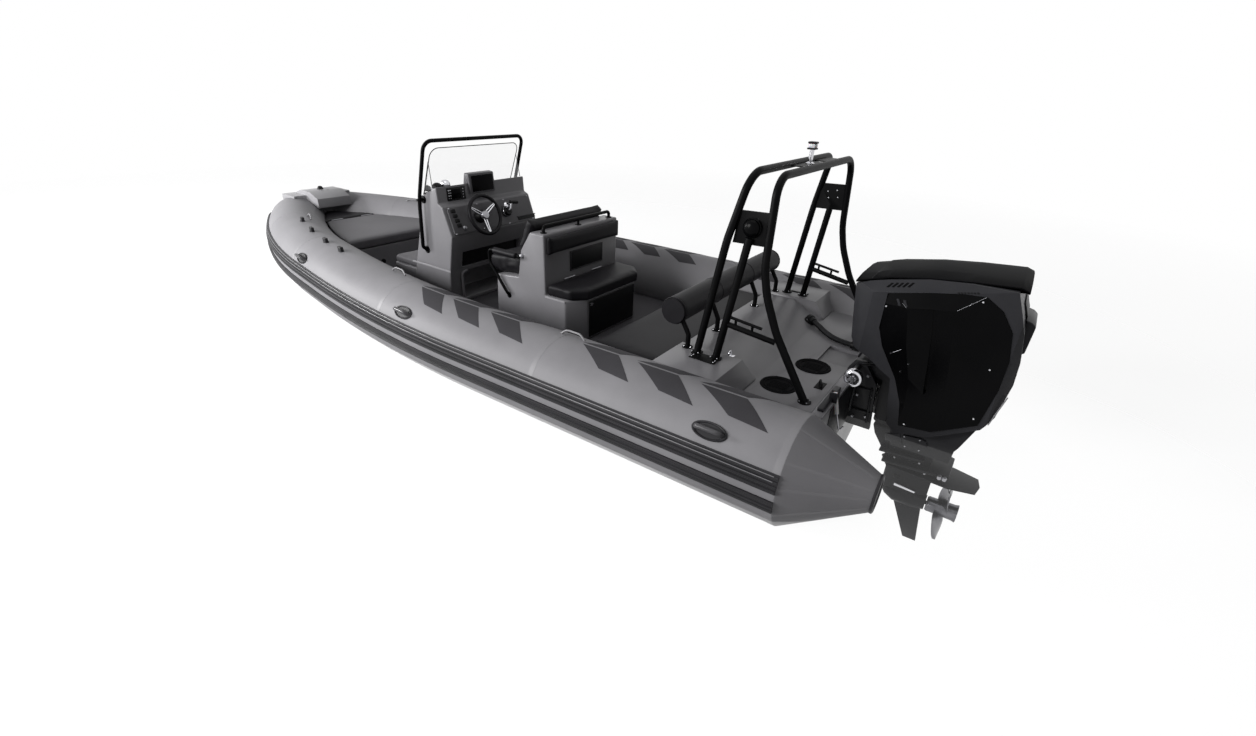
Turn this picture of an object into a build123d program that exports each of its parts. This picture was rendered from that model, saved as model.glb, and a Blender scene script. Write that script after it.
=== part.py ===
from build123d import *
import math
import os

# A rigid inflatable boat with a centre console, a stern arch and an outboard motor, in millimetres.
# X points to the bow, Y to port and Z up. The origin is at the transom's aft face, at the waterline.

os.makedirs("parts", exist_ok=True)
pieces = {}                 # node name: finished builder

# ---------------------------------------------------------------- shared sizes
seat_gap = 0.4              # glue line under a piece that is seated on a curved face
weld = 0.3                  # running gap between a lid or soft piece and what carries it

tube_r = 268                # air tube
tube_y = 1029               # its centreline from the keel plane, abreast the cockpit
tube_z = 140                # its centreline above the waterline, abreast the cockpit
bow_joint_x = 4300          # where the side chambers meet the bow chamber
# corners of the air tube's centreline forward of the transom: x, y, z, bend radius
collar_corners = [
    (2895, tube_y, tube_z, 11850),
    (4870, 729, 221, 4390),
    (5843, 193, 251, 330),
]

hull_top = 5                # top of the hull moulding, under the sole
sole_t = 20
sole_z = hull_top + sole_t
deck_aft_x = 870            # front of the aft deck moulding
locker_x = 4250             # aft face of the bow locker
keel_z = -290              # bottom of the keel
transom_t = 60
transom_z = 280             # top of the transom
well_z = 278                # low part of the aft deck, before the transom
platform_z = 370            # raised part of the aft deck, in front of the well
block_z = 385               # top of the deck blocks that carry the arch

# ---------------------------------------------------------------- helpers


def bar(points, bends, radius):
    """Sweep a round bar into the open part, along straight runs and tangent arcs."""
    with BuildLine() as run:
        if len(points) == 2:
            Line(*points)
        else:
            FilletPolyline(*points, radius=bends)
    with BuildSketch(Plane(origin=points[0], z_dir=Vector(points[1]) - Vector(points[0]))) as section:
        Circle(radius)
    sweep(section.sketch, path=run.line)


def outline(points, plane=Plane.XZ):
    """A face with straight edges between its corners, in a plane's own two directions."""
    with BuildSketch(plane) as face:
        with BuildLine():
            Polyline(*points, close=True)
        make_face()
    return face.sketch


def both_sides(half):
    """A closed plan from its port half, listed from aft to forward."""
    return half + [(x, -y) for x, y in reversed(half)]


def disc(centre, axis, radius):
    """A round face on a point, square to an axis."""
    with BuildSketch(Plane(origin=centre, z_dir=axis)) as face:
        Circle(radius)
    return face.sketch


def mirrored(points):
    """The same (x, y, z) points on the starboard side."""
    return [(x, -y, z) for x, y, z in points]


hinge_r = 4
knuckle_half = 60           # half length of each knuckle of a lid's hinge
knuckle_y = 160


def knuckles(x, z):
    """Add the two knuckles of a lid's hinge, round the line it turns on."""
    for y in (knuckle_y, -knuckle_y):
        extrude(disc((x, y - knuckle_half, z), (0, 1, 0), hinge_r), amount=2 * knuckle_half)


# ---------------------------------------------------------------- air tubes

# the tubes' centreline from the port side of the transom, round to just past the middle of the bow
with BuildLine() as collar_line:
    corners = [(x, y, z) for x, y, z, _ in collar_corners]
    bow_corner = corners[-1]
    FilletPolyline((0, tube_y, tube_z), *corners, (bow_corner[0], -bow_corner[1], bow_corner[2]),
                   radius=[bend for _, _, _, bend in collar_corners])
collar_wire = collar_line.wires()[0]


def along_collar(section):
    """Sweep a section along the tube's centreline into the open part, as far as the keel plane."""
    sweep(section, path=collar_wire)
    split(bisect_by=Plane.XZ, keep=Keep.BOTTOM)


with BuildPart() as port_half:
    along_collar(disc((0, tube_y, tube_z), (1, 0, 0), tube_r))

with BuildPart() as tube_space:     # what every moulding is cut back from
    along_collar(disc((0, tube_y, tube_z), (1, 0, 0), tube_r + seat_gap))
    mirror(about=Plane.XZ)

with BuildPart() as inboard:        # everything inside the tubes' corners, seen from above
    extrude(outline(both_sides([(0, tube_y)] + [(x, y) for x, y, _ in corners]), Plane.XY.offset(keel_z - 10)),
            amount=1000)


def fit_between_tubes():
    """Cut the open part back to the space between the tubes."""
    add(inboard, mode=Mode.INTERSECT)
    add(tube_space, mode=Mode.SUBTRACT)


with BuildPart() as tube_port:
    add(port_half)
    split(bisect_by=Plane.YZ.offset(bow_joint_x), keep=Keep.BOTTOM)

with BuildPart() as tube_starboard:
    mirror(tube_port.part, about=Plane.XZ)

with BuildPart() as tube_bow:
    add(port_half)
    split(bisect_by=Plane.YZ.offset(bow_joint_x), keep=Keep.TOP)
    mirror(about=Plane.XZ)

pieces |= {"tube_port": tube_port, "tube_starboard": tube_starboard, "tube_bow": tube_bow}

# stern cones that close the tubes, and their end caps
cone_length = 338
cone_tip = (-cone_length, 1000, 158)
cone_tip_r = 86
cap_t = 12

with BuildPart() as stern_cones:
    with BuildSketch(Plane(origin=(0, tube_y, tube_z), z_dir=(-1, 0, 0))):
        Circle(tube_r)
    with BuildSketch(Plane(origin=cone_tip, z_dir=(-1, 0, 0))):
        Circle(cone_tip_r)
    loft(ruled=True)
    mirror(about=Plane.XZ)

with BuildPart() as cone_caps:
    with BuildSketch(Plane(origin=cone_tip, z_dir=(-1, 0, 0))):
        Circle(cone_tip_r + 3)
    extrude(amount=cap_t)
    mirror(about=Plane.XZ)

pieces |= {"stern_cones": stern_cones, "cone_caps": cone_caps}

# rubbing strakes: low and high edge as angles round the tube, thickness
strake_bands = [
    (6.5, 25.5, 16),
    (-15.0, -1.5, 16),
]
with BuildPart() as rub_strakes:
    for low_edge, high_edge, thickness in strake_bands:
        with BuildSketch(Plane.YZ, mode=Mode.PRIVATE) as band:
            with BuildLine():
                inner = CenterArc((tube_y, tube_z), tube_r + seat_gap, low_edge, high_edge - low_edge)
                outer = CenterArc((tube_y, tube_z), tube_r + thickness, low_edge, high_edge - low_edge)
                Line(inner @ 0, outer @ 0)
                Line(inner @ 1, outer @ 1)
            make_face()
        along_collar(band.sketch)
    mirror(about=Plane.XZ)

pieces["rub_strakes"] = rub_strakes

# grab handles on the tubes' outer side
# along the centreline from the transom, and degrees round the tube up from level
handle_places = [(357, 40), (2575, 39), (4085, 36)]
handle_pad = (88, 42, 8)                # half length, half width, thickness
grip_r = 14
grip_half = 58
grip_rise = 26


def on_tube(station, angle):
    """A plane on the port tube's skin: local x forward along the tube, local z outward."""
    at = collar_wire.position_at(station, position_mode=PositionMode.LENGTH)
    ahead = collar_wire.tangent_at(station, position_mode=PositionMode.LENGTH)
    outboard = ahead.cross(Vector(0, 0, 1)).normalized() * -1
    lean = math.radians(angle)
    out = outboard * math.cos(lean) + Vector(0, 0, 1) * math.sin(lean)
    return Plane(origin=at + out * tube_r, x_dir=ahead, z_dir=out)


with BuildPart() as grab_handles:
    for station, angle in handle_places:
        skin = on_tube(station, angle)
        with BuildSketch(skin.offset(-12)):
            Ellipse(handle_pad[0], handle_pad[1])
        extrude(amount=12 + handle_pad[2])
        add(tube_space, mode=Mode.SUBTRACT)
        with BuildSketch(skin.offset(handle_pad[2])):
            with Locations((-grip_half, 0), (grip_half, 0)):
                Circle(grip_r)
        extrude(amount=grip_rise)
        with BuildSketch(Plane(origin=skin.from_local_coords(Vector(-grip_half, 0, grip_rise)),
                               z_dir=skin.x_dir)):
            Circle(grip_r)
        extrude(amount=2 * grip_half)
    mirror(about=Plane.XZ)

pieces["grab_handles"] = grab_handles

# ---------------------------------------------------------------- hull

chine = (740, -21)          # y, z of the chine abreast the cockpit
# forward sections: x, keel z, chine y, chine z, side y, side z
hull_sections = [
    (2900, keel_z, chine[0], chine[1], 800, hull_top),
    (3650, -284, 705, -19, 768, 20),
    (4250, -260, 640, -14, 712, 45),
    (4750, -205, 535, -2, 606, 70),
    (5150, -122, 400, 22, 470, 96),
    (5480, -14, 245, 62, 305, 128),
    (5720, 88, 110, 118, 150, 160),
]


def hull_face(x, keel, chine_y, chine_z, side_y, side_z):
    """The hull's outline across the boat at one station."""
    return outline([(0, keel), (chine_y, chine_z), (side_y, side_z), (-side_y, side_z),
                    (-chine_y, chine_z)], Plane.YZ.offset(x))


with BuildPart() as hull_bottom:
    parallel_x = hull_sections[0][0]
    extrude(hull_face(0, *hull_sections[0][1:]), amount=parallel_x)
    loft([hull_face(*section) for section in hull_sections], ruled=True)
    with Locations((locker_x / 2, 0, hull_top + 100)):
        Box(locker_x + 2, 2000, 200, mode=Mode.SUBTRACT)
    fit_between_tubes()

pieces["hull_bottom"] = hull_bottom

with BuildPart() as cockpit_sole:
    with Locations(((deck_aft_x + locker_x) / 2, 0, hull_top + sole_t / 2)):
        Box(locker_x - deck_aft_x, 2 * tube_y, sole_t)
    fit_between_tubes()

pieces["cockpit_sole"] = cockpit_sole

with BuildPart() as transom:
    with Locations((transom_t / 2, 0, (hull_top + transom_z) / 2)):
        Box(transom_t, 2 * tube_y, transom_z - hull_top)
    fit_between_tubes()

pieces["transom"] = transom

# ---------------------------------------------------------------- aft deck

ramp_foot_x = 450
ramp_top_x = 650
block_aft_x = 420           # aft foot of the deck blocks
block_slope_x = 500         # where their tops start to fall
block_inner_y = 600
block_foot_y = 570          # inner foot of a block, on the low deck
engine_recess = (240, -165, 90, 18)     # forward end x, low y, high y, depth

with BuildPart() as aft_deck:
    extrude(outline([(transom_t, hull_top), (deck_aft_x, hull_top), (deck_aft_x, platform_z),
                     (ramp_top_x, platform_z), (ramp_foot_x, well_z), (transom_t, well_z)]),
            amount=tube_y, both=True)
    for side in (1, -1):
        with BuildPart(mode=Mode.PRIVATE) as block:
            extrude(outline([(side * block_foot_y, well_z - 5), (side * block_inner_y, block_z),
                             (side * tube_y, block_z), (side * tube_y, well_z - 5)],
                            Plane.YZ.offset(deck_aft_x)), amount=block_aft_x - deck_aft_x)
            extrude(outline([(block_aft_x - 10, well_z), (block_aft_x - 10, block_z + 20),
                             (block_slope_x, block_z + 20), (block_slope_x, block_z),
                             (block_aft_x + 20, well_z + 30)]),
                    amount=tube_y, both=True, mode=Mode.SUBTRACT)
        add(block)
    recess_x, recess_low_y, recess_high_y, recess_depth = engine_recess
    with Locations(((transom_t + recess_x) / 2, (recess_low_y + recess_high_y) / 2, well_z)):
        Box(recess_x - transom_t, recess_high_y - recess_low_y, 2 * recess_depth, mode=Mode.SUBTRACT)
    fit_between_tubes()

pieces["aft_deck"] = aft_deck

# inspection hatches in the well
hatch_r = 100
hatch_t = 6
hatches = [(298, 545), (228, 200)]
with BuildPart() as deck_hatches:
    with BuildSketch(Plane.XY.offset(well_z)):
        with Locations(*hatches):
            Circle(hatch_r)
    extrude(amount=hatch_t)

pieces["deck_hatches"] = deck_hatches

# ---------------------------------------------------------------- bow

locker_z = 270              # top of the bow locker, under its cushion
locker_wall = 25
locker_floor_z = 110
bow_cushion_t = 88
# half of the locker's hollow in plan
locker_hollow = [(locker_x + locker_wall, 420), (4900, 260)]


with BuildPart() as bow_filling:
    extrude(outline(both_sides([(locker_x, tube_y), (5700, tube_y)]), Plane.XY.offset(hull_top)),
            amount=locker_z - hull_top)
    extrude(outline(both_sides(locker_hollow), Plane.XY.offset(locker_floor_z)),
            amount=locker_z, mode=Mode.SUBTRACT)
    fit_between_tubes()
    add(hull_bottom, mode=Mode.SUBTRACT)

with BuildPart() as bow_locker:     # what stands over the hull, without the piece left under it
    add(bow_filling.part.solids().sort_by(SortBy.VOLUME)[-1])

bow_lid_x = 5150            # the cushion's fold line, where the lid hinges
lid_gap = 6                 # round the part of the cushion that lifts
with BuildPart() as lid_space:
    along_collar(disc((0, tube_y, tube_z), (1, 0, 0), tube_r + lid_gap))
    mirror(about=Plane.XZ)

with BuildPart() as bow_cushion_whole:
    extrude(outline(both_sides([(locker_x - 5, tube_y), (5600, tube_y)]), Plane.XY.offset(locker_z + weld)),
            amount=bow_cushion_t)
    add(inboard, mode=Mode.INTERSECT)
    add(tube_space, mode=Mode.SUBTRACT)

with BuildPart() as bow_cushion:
    add(bow_cushion_whole)
    split(bisect_by=Plane.YZ.offset(bow_lid_x), keep=Keep.BOTTOM)
    add(lid_space, mode=Mode.SUBTRACT)
    knuckles(bow_lid_x, locker_z + bow_cushion_t)

with BuildPart() as bow_cushion_tip:
    add(bow_cushion_whole)
    split(bisect_by=Plane.YZ.offset(bow_lid_x + lid_gap), keep=Keep.TOP)

nose_top_z = 575
nose_half = 175             # half width of the nose cap's raised part
nose_wing_half = 300        # half width of its wings over the tube
nose_outline = [(5430, 430), (5880, 430), (5880, nose_top_z - 45), (5740, nose_top_z), (5560, nose_top_z),
                (5430, nose_top_z - 55)]
with BuildPart() as nose_cap:
    extrude(outline(nose_outline), amount=nose_half, both=True)
    with Locations((5760, 0, nose_top_z - 85)):
        Box(240, 2 * nose_wing_half, 90)
    add(tube_space, mode=Mode.SUBTRACT)

bow_light_r = 32
bow_light_t = 26
with BuildPart() as bow_light:
    extrude(disc((5670, 0, nose_top_z), (0, 0, 1), bow_light_r), amount=bow_light_t)

pieces |= {"bow_locker": bow_locker, "bow_cushion": bow_cushion, "bow_cushion_tip": bow_cushion_tip,
           "nose_cap": nose_cap,
           "bow_light": bow_light}

# ---------------------------------------------------------------- console

console_half = 460
console_panel = 12          # thickness of the dash and its pod on the moulding
hood_front = (3293, 870)    # x, z of the hood's front and aft edges
hood_aft = (3130, 946)
hood_low = (3122, 824)
dash_high = (3076, 803)
dash_low = (2996, 591)
console_foot_x = 3080
console_outline = [(3580, sole_z), hood_front, hood_aft, hood_low, dash_high, dash_low, (3060, 300),
                   (console_foot_x, sole_z)]
footwell_y = (-280, 340)    # low and high y of the two openings in the aft face
footwell_x = 3330           # how far forward they reach
foot_z = (60, 289)          # low and high z of the one for the feet
shelf_z = (327, 450)        # low and high z of the shelf over it

with BuildPart() as console_body:
    extrude(outline(console_outline), amount=console_half, both=True)
    low_y, high_y = footwell_y
    for low_z, high_z in (foot_z, shelf_z):
        extrude(outline([(low_y, low_z), (high_y, low_z), (high_y, high_z), (low_y, high_z)],
                        Plane.YZ.offset(2900)), amount=footwell_x - 2900, mode=Mode.SUBTRACT)


def panel_plane(low, high, y=0):
    """A plane on an aft-facing panel: local x to starboard, local y up it, local z out of it."""
    up = (Vector(high[0], 0, high[1]) - Vector(low[0], 0, low[1])).normalized()
    middle = Vector((low[0] + high[0]) / 2, y, (low[1] + high[1]) / 2)
    return Plane(origin=middle, x_dir=(0, -1, 0), z_dir=Vector(0, -1, 0).cross(up))


dash = panel_plane(dash_low, dash_high)
dash_height = math.dist(dash_low, dash_high)
with BuildPart() as dash_panel:
    with BuildSketch(dash):
        RectangleRounded(2 * console_half - 60, dash_height - 20, 20)
    extrude(amount=console_panel)

# display pod on the hood
pod_half = 130
pod_y = 25
pod_outline = [(3098, 866), (3114, 1014), (3165, 1020), (3190, 900), (3135, 866)]
with BuildPart() as display_pod:
    extrude(outline(pod_outline, Plane.XZ.offset(-pod_y)), amount=pod_half, both=True)
    add(console_body, mode=Mode.SUBTRACT)

# compass on the hood
compass_r = 45
compass_y = 395
with BuildPart() as compass:
    with Locations((3190, compass_y, 915)):
        Sphere(compass_r)
    add(console_body, mode=Mode.SUBTRACT)

# clear windscreen, leaning aft from the hood's front edge
screen_low = (3292, 872)
screen_high = (3160, 1215)
screen_half = 448
screen_t = 6
screen_corner = 70
screen_height = math.dist(screen_low, screen_high)
with BuildPart() as windscreen:
    with BuildSketch(panel_plane(screen_low, screen_high)):
        RectangleRounded(2 * screen_half, screen_height, screen_corner)
        with Locations((0, -screen_height / 4 - 4)):
            Rectangle(2 * screen_half, screen_height / 2 + 8)
    extrude(amount=-screen_t)
    add(console_body, mode=Mode.SUBTRACT)

# hoop rail round the windscreen
rail_r = 14
rail_y = console_half + 38
rail_path = [(3313, console_half - 6, 440), (3313, rail_y, 472), (3289, rail_y, 838), (3158, rail_y, 1266)]
rail_bends = [25, 600, 70]
with BuildPart() as console_rail:
    bar(rail_path + mirrored(rail_path)[::-1], rail_bends + rail_bends[::-1], rail_r)
    for side in (1, -1):
        bar([(3289, side * (console_half - 6), 838), (3289, side * rail_y, 838)], None, rail_r * 0.7)
    add(console_body, mode=Mode.SUBTRACT)

# steering wheel on its own sloping shaft
wheel_y = 150
wheel_r = 165
rim_r = 14
wheel_rise = 75             # rim's plane above the dash panel
hub_r = 32
dash_wheel = panel_plane(dash_low, dash_high, wheel_y).offset(console_panel)
wheel_plane = dash_wheel.offset(wheel_rise)
shaft_r = 10
shaft_gap = 0.05
with BuildPart() as steering_hub:
    with BuildSketch(dash_wheel):
        Circle(hub_r + 12)
    extrude(amount=wheel_rise - 28 - weld)
    with BuildSketch(dash_wheel):
        Circle(shaft_r)
    extrude(amount=wheel_rise - 4)

with BuildPart() as steering_wheel:
    with Locations(wheel_plane.location):
        Torus(wheel_r, rim_r)
        with Locations((0, 0, -9)):
            Cylinder(hub_r, 38)
    with BuildSketch(wheel_plane.offset(-30)):
        Circle(shaft_r + shaft_gap)
    extrude(amount=28, mode=Mode.SUBTRACT)
    for turn in (90, 210, 330):
        tip = Vector(math.cos(math.radians(turn)), math.sin(math.radians(turn)), 0)
        bar([wheel_plane.from_local_coords(tip * 20), wheel_plane.from_local_coords(tip * (wheel_r - 4))],
            None, 7)

# throttle lever on the dash
throttle_y = -130
dash_throttle = panel_plane(dash_low, dash_high, throttle_y).offset(console_panel)
with BuildPart() as throttle:
    with BuildSketch(dash_throttle):
        RectangleRounded(70, 110, 15)
    extrude(amount=45)
    lever = [dash_throttle.from_local_coords(Vector(*at)) for at in ((0, 0, 30), (62, 0, 30), (72, 12, 135))]
    bar(lever[:2], None, 12)
    bar(lever[1:], None, 9)
    extrude(disc(lever[1] - Vector(0, 15, 0), (0, 1, 0), 16), amount=30)
    extrude(disc(lever[2] - Vector(0, 28, 0), (0, 1, 0), 17), amount=56)

pieces |= {"console_body": console_body, "dash_panel": dash_panel, "display_pod": display_pod,
           "compass": compass, "windscreen": windscreen, "console_rail": console_rail,
           "steering_hub": steering_hub, "steering_wheel": steering_wheel, "throttle": throttle}

# seat in front of the console
front_seat_half = 420
front_seat_z = 235
front_seat_x = 3850
front_cushion_t = 60
with BuildPart() as front_seat:
    extrude(outline([(3590, sole_z), (front_seat_x, sole_z), (front_seat_x, front_seat_z),
                     (3520, front_seat_z)]), amount=front_seat_half, both=True)
    add(console_body, mode=Mode.SUBTRACT)

with BuildPart() as front_cushion:
    with Locations(((3535 + front_seat_x) / 2, 0, front_seat_z + weld + front_cushion_t / 2)):
        Box(front_seat_x - 3535, 2 * front_seat_half, front_cushion_t)
    add(console_body, mode=Mode.SUBTRACT)

pieces |= {"front_seat": front_seat, "front_cushion": front_cushion}

# ---------------------------------------------------------------- helm seat

seat_half = 420
seat_front_x = 2590
seat_shelf_z = 392          # under the helm cushion
post_front_x = 2350
post_aft_x = 2090
post_z = 755
jump_z = 330                # top of the jump locker, under its cushion
jump_aft_x = 1810
jump_wall = 20
seat_outline = [(jump_aft_x, sole_z), (seat_front_x, sole_z), (seat_front_x - 20, seat_shelf_z),
                (post_front_x, seat_shelf_z + 20), (post_front_x - 35, 611), (post_front_x - 130, post_z),
                (post_aft_x, post_z), (post_aft_x, jump_z), (jump_aft_x, jump_z)]
# half of the seat's plan, aft to forward
seat_plan = [(jump_aft_x, 285), (1905, seat_half), (seat_front_x, seat_half)]

with BuildPart() as seat_base:
    extrude(outline(seat_outline), amount=seat_half, both=True)
    extrude(outline(both_sides(seat_plan), Plane.XY.offset(sole_z)), amount=post_z, mode=Mode.INTERSECT)
    with Locations(((jump_aft_x + jump_wall + post_aft_x) / 2, 0, (jump_z + 80) / 2)):
        Box(post_aft_x - jump_aft_x - jump_wall - 10, 500, jump_z - 80 + 0.01, mode=Mode.SUBTRACT)

jump_cushion_t = 75
jump_plan = [(1785, seat_half - 120), (1880, seat_half - 15), (post_aft_x - 6, seat_half - 5)]
with BuildPart() as jump_cushion:
    extrude(outline(both_sides(jump_plan), Plane.XY.offset(jump_z + weld)), amount=jump_cushion_t)
    knuckles(post_aft_x - 6, jump_z + jump_cushion_t)

helm_cushion_t = 120
with BuildPart() as helm_cushion:
    extrude(outline([(post_front_x + 6, seat_shelf_z + 19.8), (seat_front_x - 20, seat_shelf_z + weld),
                     (2690, seat_shelf_z + 30), (2690, seat_shelf_z + helm_cushion_t),
                     (post_front_x + 6, seat_shelf_z + helm_cushion_t + 30)]), amount=380, both=True)

# back pads: the helm's on the post's sloping face, the jump seat's on its aft face
back_pad = (616, 740)       # low and high z of the aft one
back_pad_t = 32
with BuildPart() as back_pads:
    extrude(outline([(post_front_x - 50, 600), (post_front_x - 145, post_z - 1), (post_front_x - 90, post_z + 40),
                     (post_front_x + 6, 640)]), amount=400, both=True)
    add(seat_base, mode=Mode.SUBTRACT)
    with Locations((post_aft_x - weld - back_pad_t / 2, 0, sum(back_pad) / 2)):
        Box(back_pad_t, 2 * 408, back_pad[1] - back_pad[0])

# locker panel under it
panel_t = 8
with BuildPart() as locker_panel:
    with Locations((post_aft_x - panel_t / 2, -40, 522)):
        Box(panel_t, 380, 145)

# hand rail over the back, on three feet
hand_rail_r = 12
hand_rail_z = 800
with BuildPart() as hand_rail:
    ends = [(2135, 370, post_z), (2135, 370, hand_rail_z)]
    bar(ends + mirrored(ends)[::-1], 25, hand_rail_r)
    bar([(2135, 0, post_z), (2135, 0, hand_rail_z)], None, hand_rail_r * 0.8)

# armrests: a bent tube with a round pad, on both sides
arm_y = seat_half + 24
arm_tube_r = 11
arm_pad_r = 24
arm_z = 575
arm_path = [(2300, arm_y, arm_z), (2610, arm_y, arm_z), (2610, arm_y, 480), (2450, arm_y, 284),
            (2450, seat_half, 250)]
with BuildPart() as armrests:
    bar(arm_path, [30, 60, 20], arm_tube_r)
    bar([(2305, seat_half, arm_z), (2305, arm_y, arm_z)], None, arm_tube_r)
    extrude(disc((2330, arm_y, arm_z), (1, 0, 0), arm_pad_r), amount=230)
    mirror(about=Plane.XZ)
    add(seat_base, mode=Mode.SUBTRACT)

pieces |= {"seat_base": seat_base, "jump_cushion": jump_cushion, "helm_cushion": helm_cushion,
           "back_pads": back_pads, "locker_panel": locker_panel,
           "hand_rail": hand_rail, "armrests": armrests}

# ---------------------------------------------------------------- stern bench

bench_x = 1380
bench_z = 215
bench_wall = 20
bench_cushion_t = 80
bench_half = 760
bench_cushion_x = 1405

with BuildPart() as bench_base:
    with Locations(((deck_aft_x + bench_x) / 2, 0, (sole_z + bench_z) / 2)):
        Box(bench_x - deck_aft_x, 2 * tube_y, bench_z - sole_z)
    with Locations(((deck_aft_x + bench_x) / 2, 0, (sole_z + bench_z) / 2 + bench_wall)):
        Box(bench_x - deck_aft_x - 2 * bench_wall, 1280, bench_z - sole_z, mode=Mode.SUBTRACT)
    fit_between_tubes()

with BuildPart() as bench_cushion:
    with Locations(((deck_aft_x + 8 + bench_cushion_x) / 2, 0, bench_z + weld + bench_cushion_t / 2)):
        Box(bench_cushion_x - deck_aft_x - 8, 2 * bench_half, bench_cushion_t)
    add(tube_space, mode=Mode.SUBTRACT)
    knuckles(deck_aft_x + 8, bench_z + bench_cushion_t)

roll_x = 900
roll_z = 588
roll_r = 76
roll_half = 680
with BuildPart() as bench_backrest:
    extrude(disc((roll_x, -roll_half, roll_z), (0, 1, 0), roll_r), amount=2 * roll_half)

leg_r = 14
leg_x = 815
leg_flange_r = 30
leg_flange_t = 5
# where the legs stand: y, z of the deck there
legs = [(640, block_z), (280, platform_z), (-280, platform_z), (-640, block_z)]
with BuildPart() as backrest_legs:
    for y, foot_z in legs:
        bar([(leg_x, y, foot_z), (leg_x, y, foot_z + 75), (roll_x - 30, y, roll_z - 40)], [40], leg_r)
        extrude(disc((leg_x, y, foot_z), (0, 0, 1), leg_flange_r), amount=leg_flange_t)
    add(bench_backrest, mode=Mode.SUBTRACT)

pieces |= {"bench_base": bench_base, "bench_cushion": bench_cushion, "bench_backrest": bench_backrest,
           "backrest_legs": backrest_legs}

# ---------------------------------------------------------------- stern arch

arch_r = 20
arch_split_y = 470
fore_loop = [(736, 675, block_z), (647, 648, 1018), (577, 611, 1337)]
fore_bends = [900, 110]
aft_loop = [(125, 640, well_z), (221, 640, 429), (329, 641, 602), (403, 641, 773), (436, 640, 910),
            (448, 600, 1330)]
aft_bends = [500, 500, 500, 500, 110]
middle_leg = [(621, 677, block_z), (535, 640, 1040)]
side_plate = [(625, 1005), (440, 1010), (448, 1170), (605, 1165)]     # x, z
side_plate_t = 8
cleat_bar = [(590, 664, 590), (325, 641, 550)]
top_plates = [(0, 150), (-330, 110)]         # y of the middle, half width
top_plate_t = 6

with BuildPart() as arch:
    bar(fore_loop + mirrored(fore_loop)[::-1], fore_bends + fore_bends[::-1], arch_r)
    bar(aft_loop + mirrored(aft_loop)[::-1], aft_bends + aft_bends[::-1], arch_r)
    for side in (1, -1):
        bar([(x, side * y, z) for x, y, z in middle_leg], None, arch_r)
        bar([(x, side * y, z) for x, y, z in cleat_bar], None, arch_r * 0.75)
        extrude(outline(side_plate, Plane.XZ.offset(-side * 628)), amount=side_plate_t / 2, both=True)
    for middle_y, half in top_plates:
        with Locations((512, middle_y, 1333)):
            Box(130, 2 * half, top_plate_t)
    for x, y, z in (fore_loop[0], middle_leg[0], aft_loop[0]):
        for side in (1, -1):
            extrude(disc((x, side * y, z), (0, 0, 1), arch_r + 14), amount=6)
    add(aft_deck, mode=Mode.SUBTRACT)

with BuildPart() as arch_port:
    add(arch)
    split(bisect_by=Plane.XZ.offset(-arch_split_y), keep=Keep.BOTTOM)

with BuildPart() as arch_starboard:
    add(arch)
    split(bisect_by=Plane.XZ.offset(arch_split_y), keep=Keep.TOP)

with BuildPart() as arch_top:
    add(arch)
    split(bisect_by=Plane.XZ.offset(-arch_split_y), keep=Keep.TOP)
    split(bisect_by=Plane.XZ.offset(arch_split_y), keep=Keep.BOTTOM)

# short bars for the tow line, on two posts over each cleat bar
with BuildPart() as arch_cleats:
    for side in (1, -1):
        bar([(588, side * 663, 632), (400, side * 650, 606)], None, 8)
        for x, y, low, high in ((540, 660, 585, 625), (450, 652, 572, 613)):
            bar([(x, side * y, low), (x, side * y, high)], None, 7)
    add(arch, mode=Mode.SUBTRACT)

mast_r = 12
with BuildPart() as arch_lights:
    extrude(disc((512, 0, 1333 + top_plate_t / 2), (0, 0, 1), mast_r + 12), amount=6)
    extrude(disc((512, 0, 1333 + top_plate_t / 2), (0, 0, 1), mast_r), amount=70)
    with Locations((512, 0, 1333 + 70 + 20)):
        Box(46, 46, 40)

    with BuildSketch(Plane.XZ.offset(-(628 - side_plate_t / 2))) as lamp:
        with Locations((530, 1090)):
            Circle(48)
    extrude(lamp.sketch, amount=40)

pieces |= {"arch_port": arch_port, "arch_starboard": arch_starboard, "arch_top": arch_top,
           "arch_cleats": arch_cleats, "arch_lights": arch_lights}

# ---------------------------------------------------------------- outboard

pin_gap = 0.05              # radial running clearance at pins
tilt_x = 0                  # tilt pin, over the transom's top edge
tilt_z = 320
tilt_pin_r = 14
tilt_boss_r = 30
steer_x = -175              # steering axis
steer_pin_r = 30
clamp_inner = 95            # a clamp plate's inner face, from the keel plane
clamp_t = 28
clamp_outer = clamp_inner + clamp_t
tilt_tube_half = 245        # the tilt tube reaches past the plates
tilt_tube_r = 16
tilt_cap_r = 38
tilt_cap_t = 42
ram_pin = (-70, -15)        # x, z of the pin under the tilt ram
ram_eye = (-95, 235)        # x, z of the eye on its rod
ram_pin_r = 10
clamp_outline = [(-0.3, -45), (-0.3, transom_z + 0.3), (56, transom_z + 0.3), (56, transom_z + 18),
                 (24, tilt_z + 34), (-30, tilt_z + 34), (-112, 240), (-135, -45)]

with BuildPart() as clamp_bracket:
    for side in (1, -1):
        plate = outline(clamp_outline, Plane.XZ.offset(-side * (clamp_inner + clamp_t / 2)))
        extrude(plate, amount=clamp_t / 2, both=True)
        extrude(disc((tilt_x, side * (clamp_outer - 1), tilt_z), (0, side, 0), tilt_tube_r),
                amount=tilt_tube_half - clamp_outer + 1)
    extrude(disc((tilt_x, -clamp_inner, tilt_z), (0, 1, 0), tilt_pin_r), amount=2 * clamp_inner)
    extrude(disc((ram_pin[0], -clamp_inner, ram_pin[1]), (0, 1, 0), ram_pin_r), amount=2 * clamp_inner)

with BuildPart() as tilt_caps:
    for side in (1, -1):
        extrude(disc((tilt_x, side * tilt_tube_half, tilt_z), (0, side, 0), tilt_cap_r), amount=tilt_cap_t)

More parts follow.
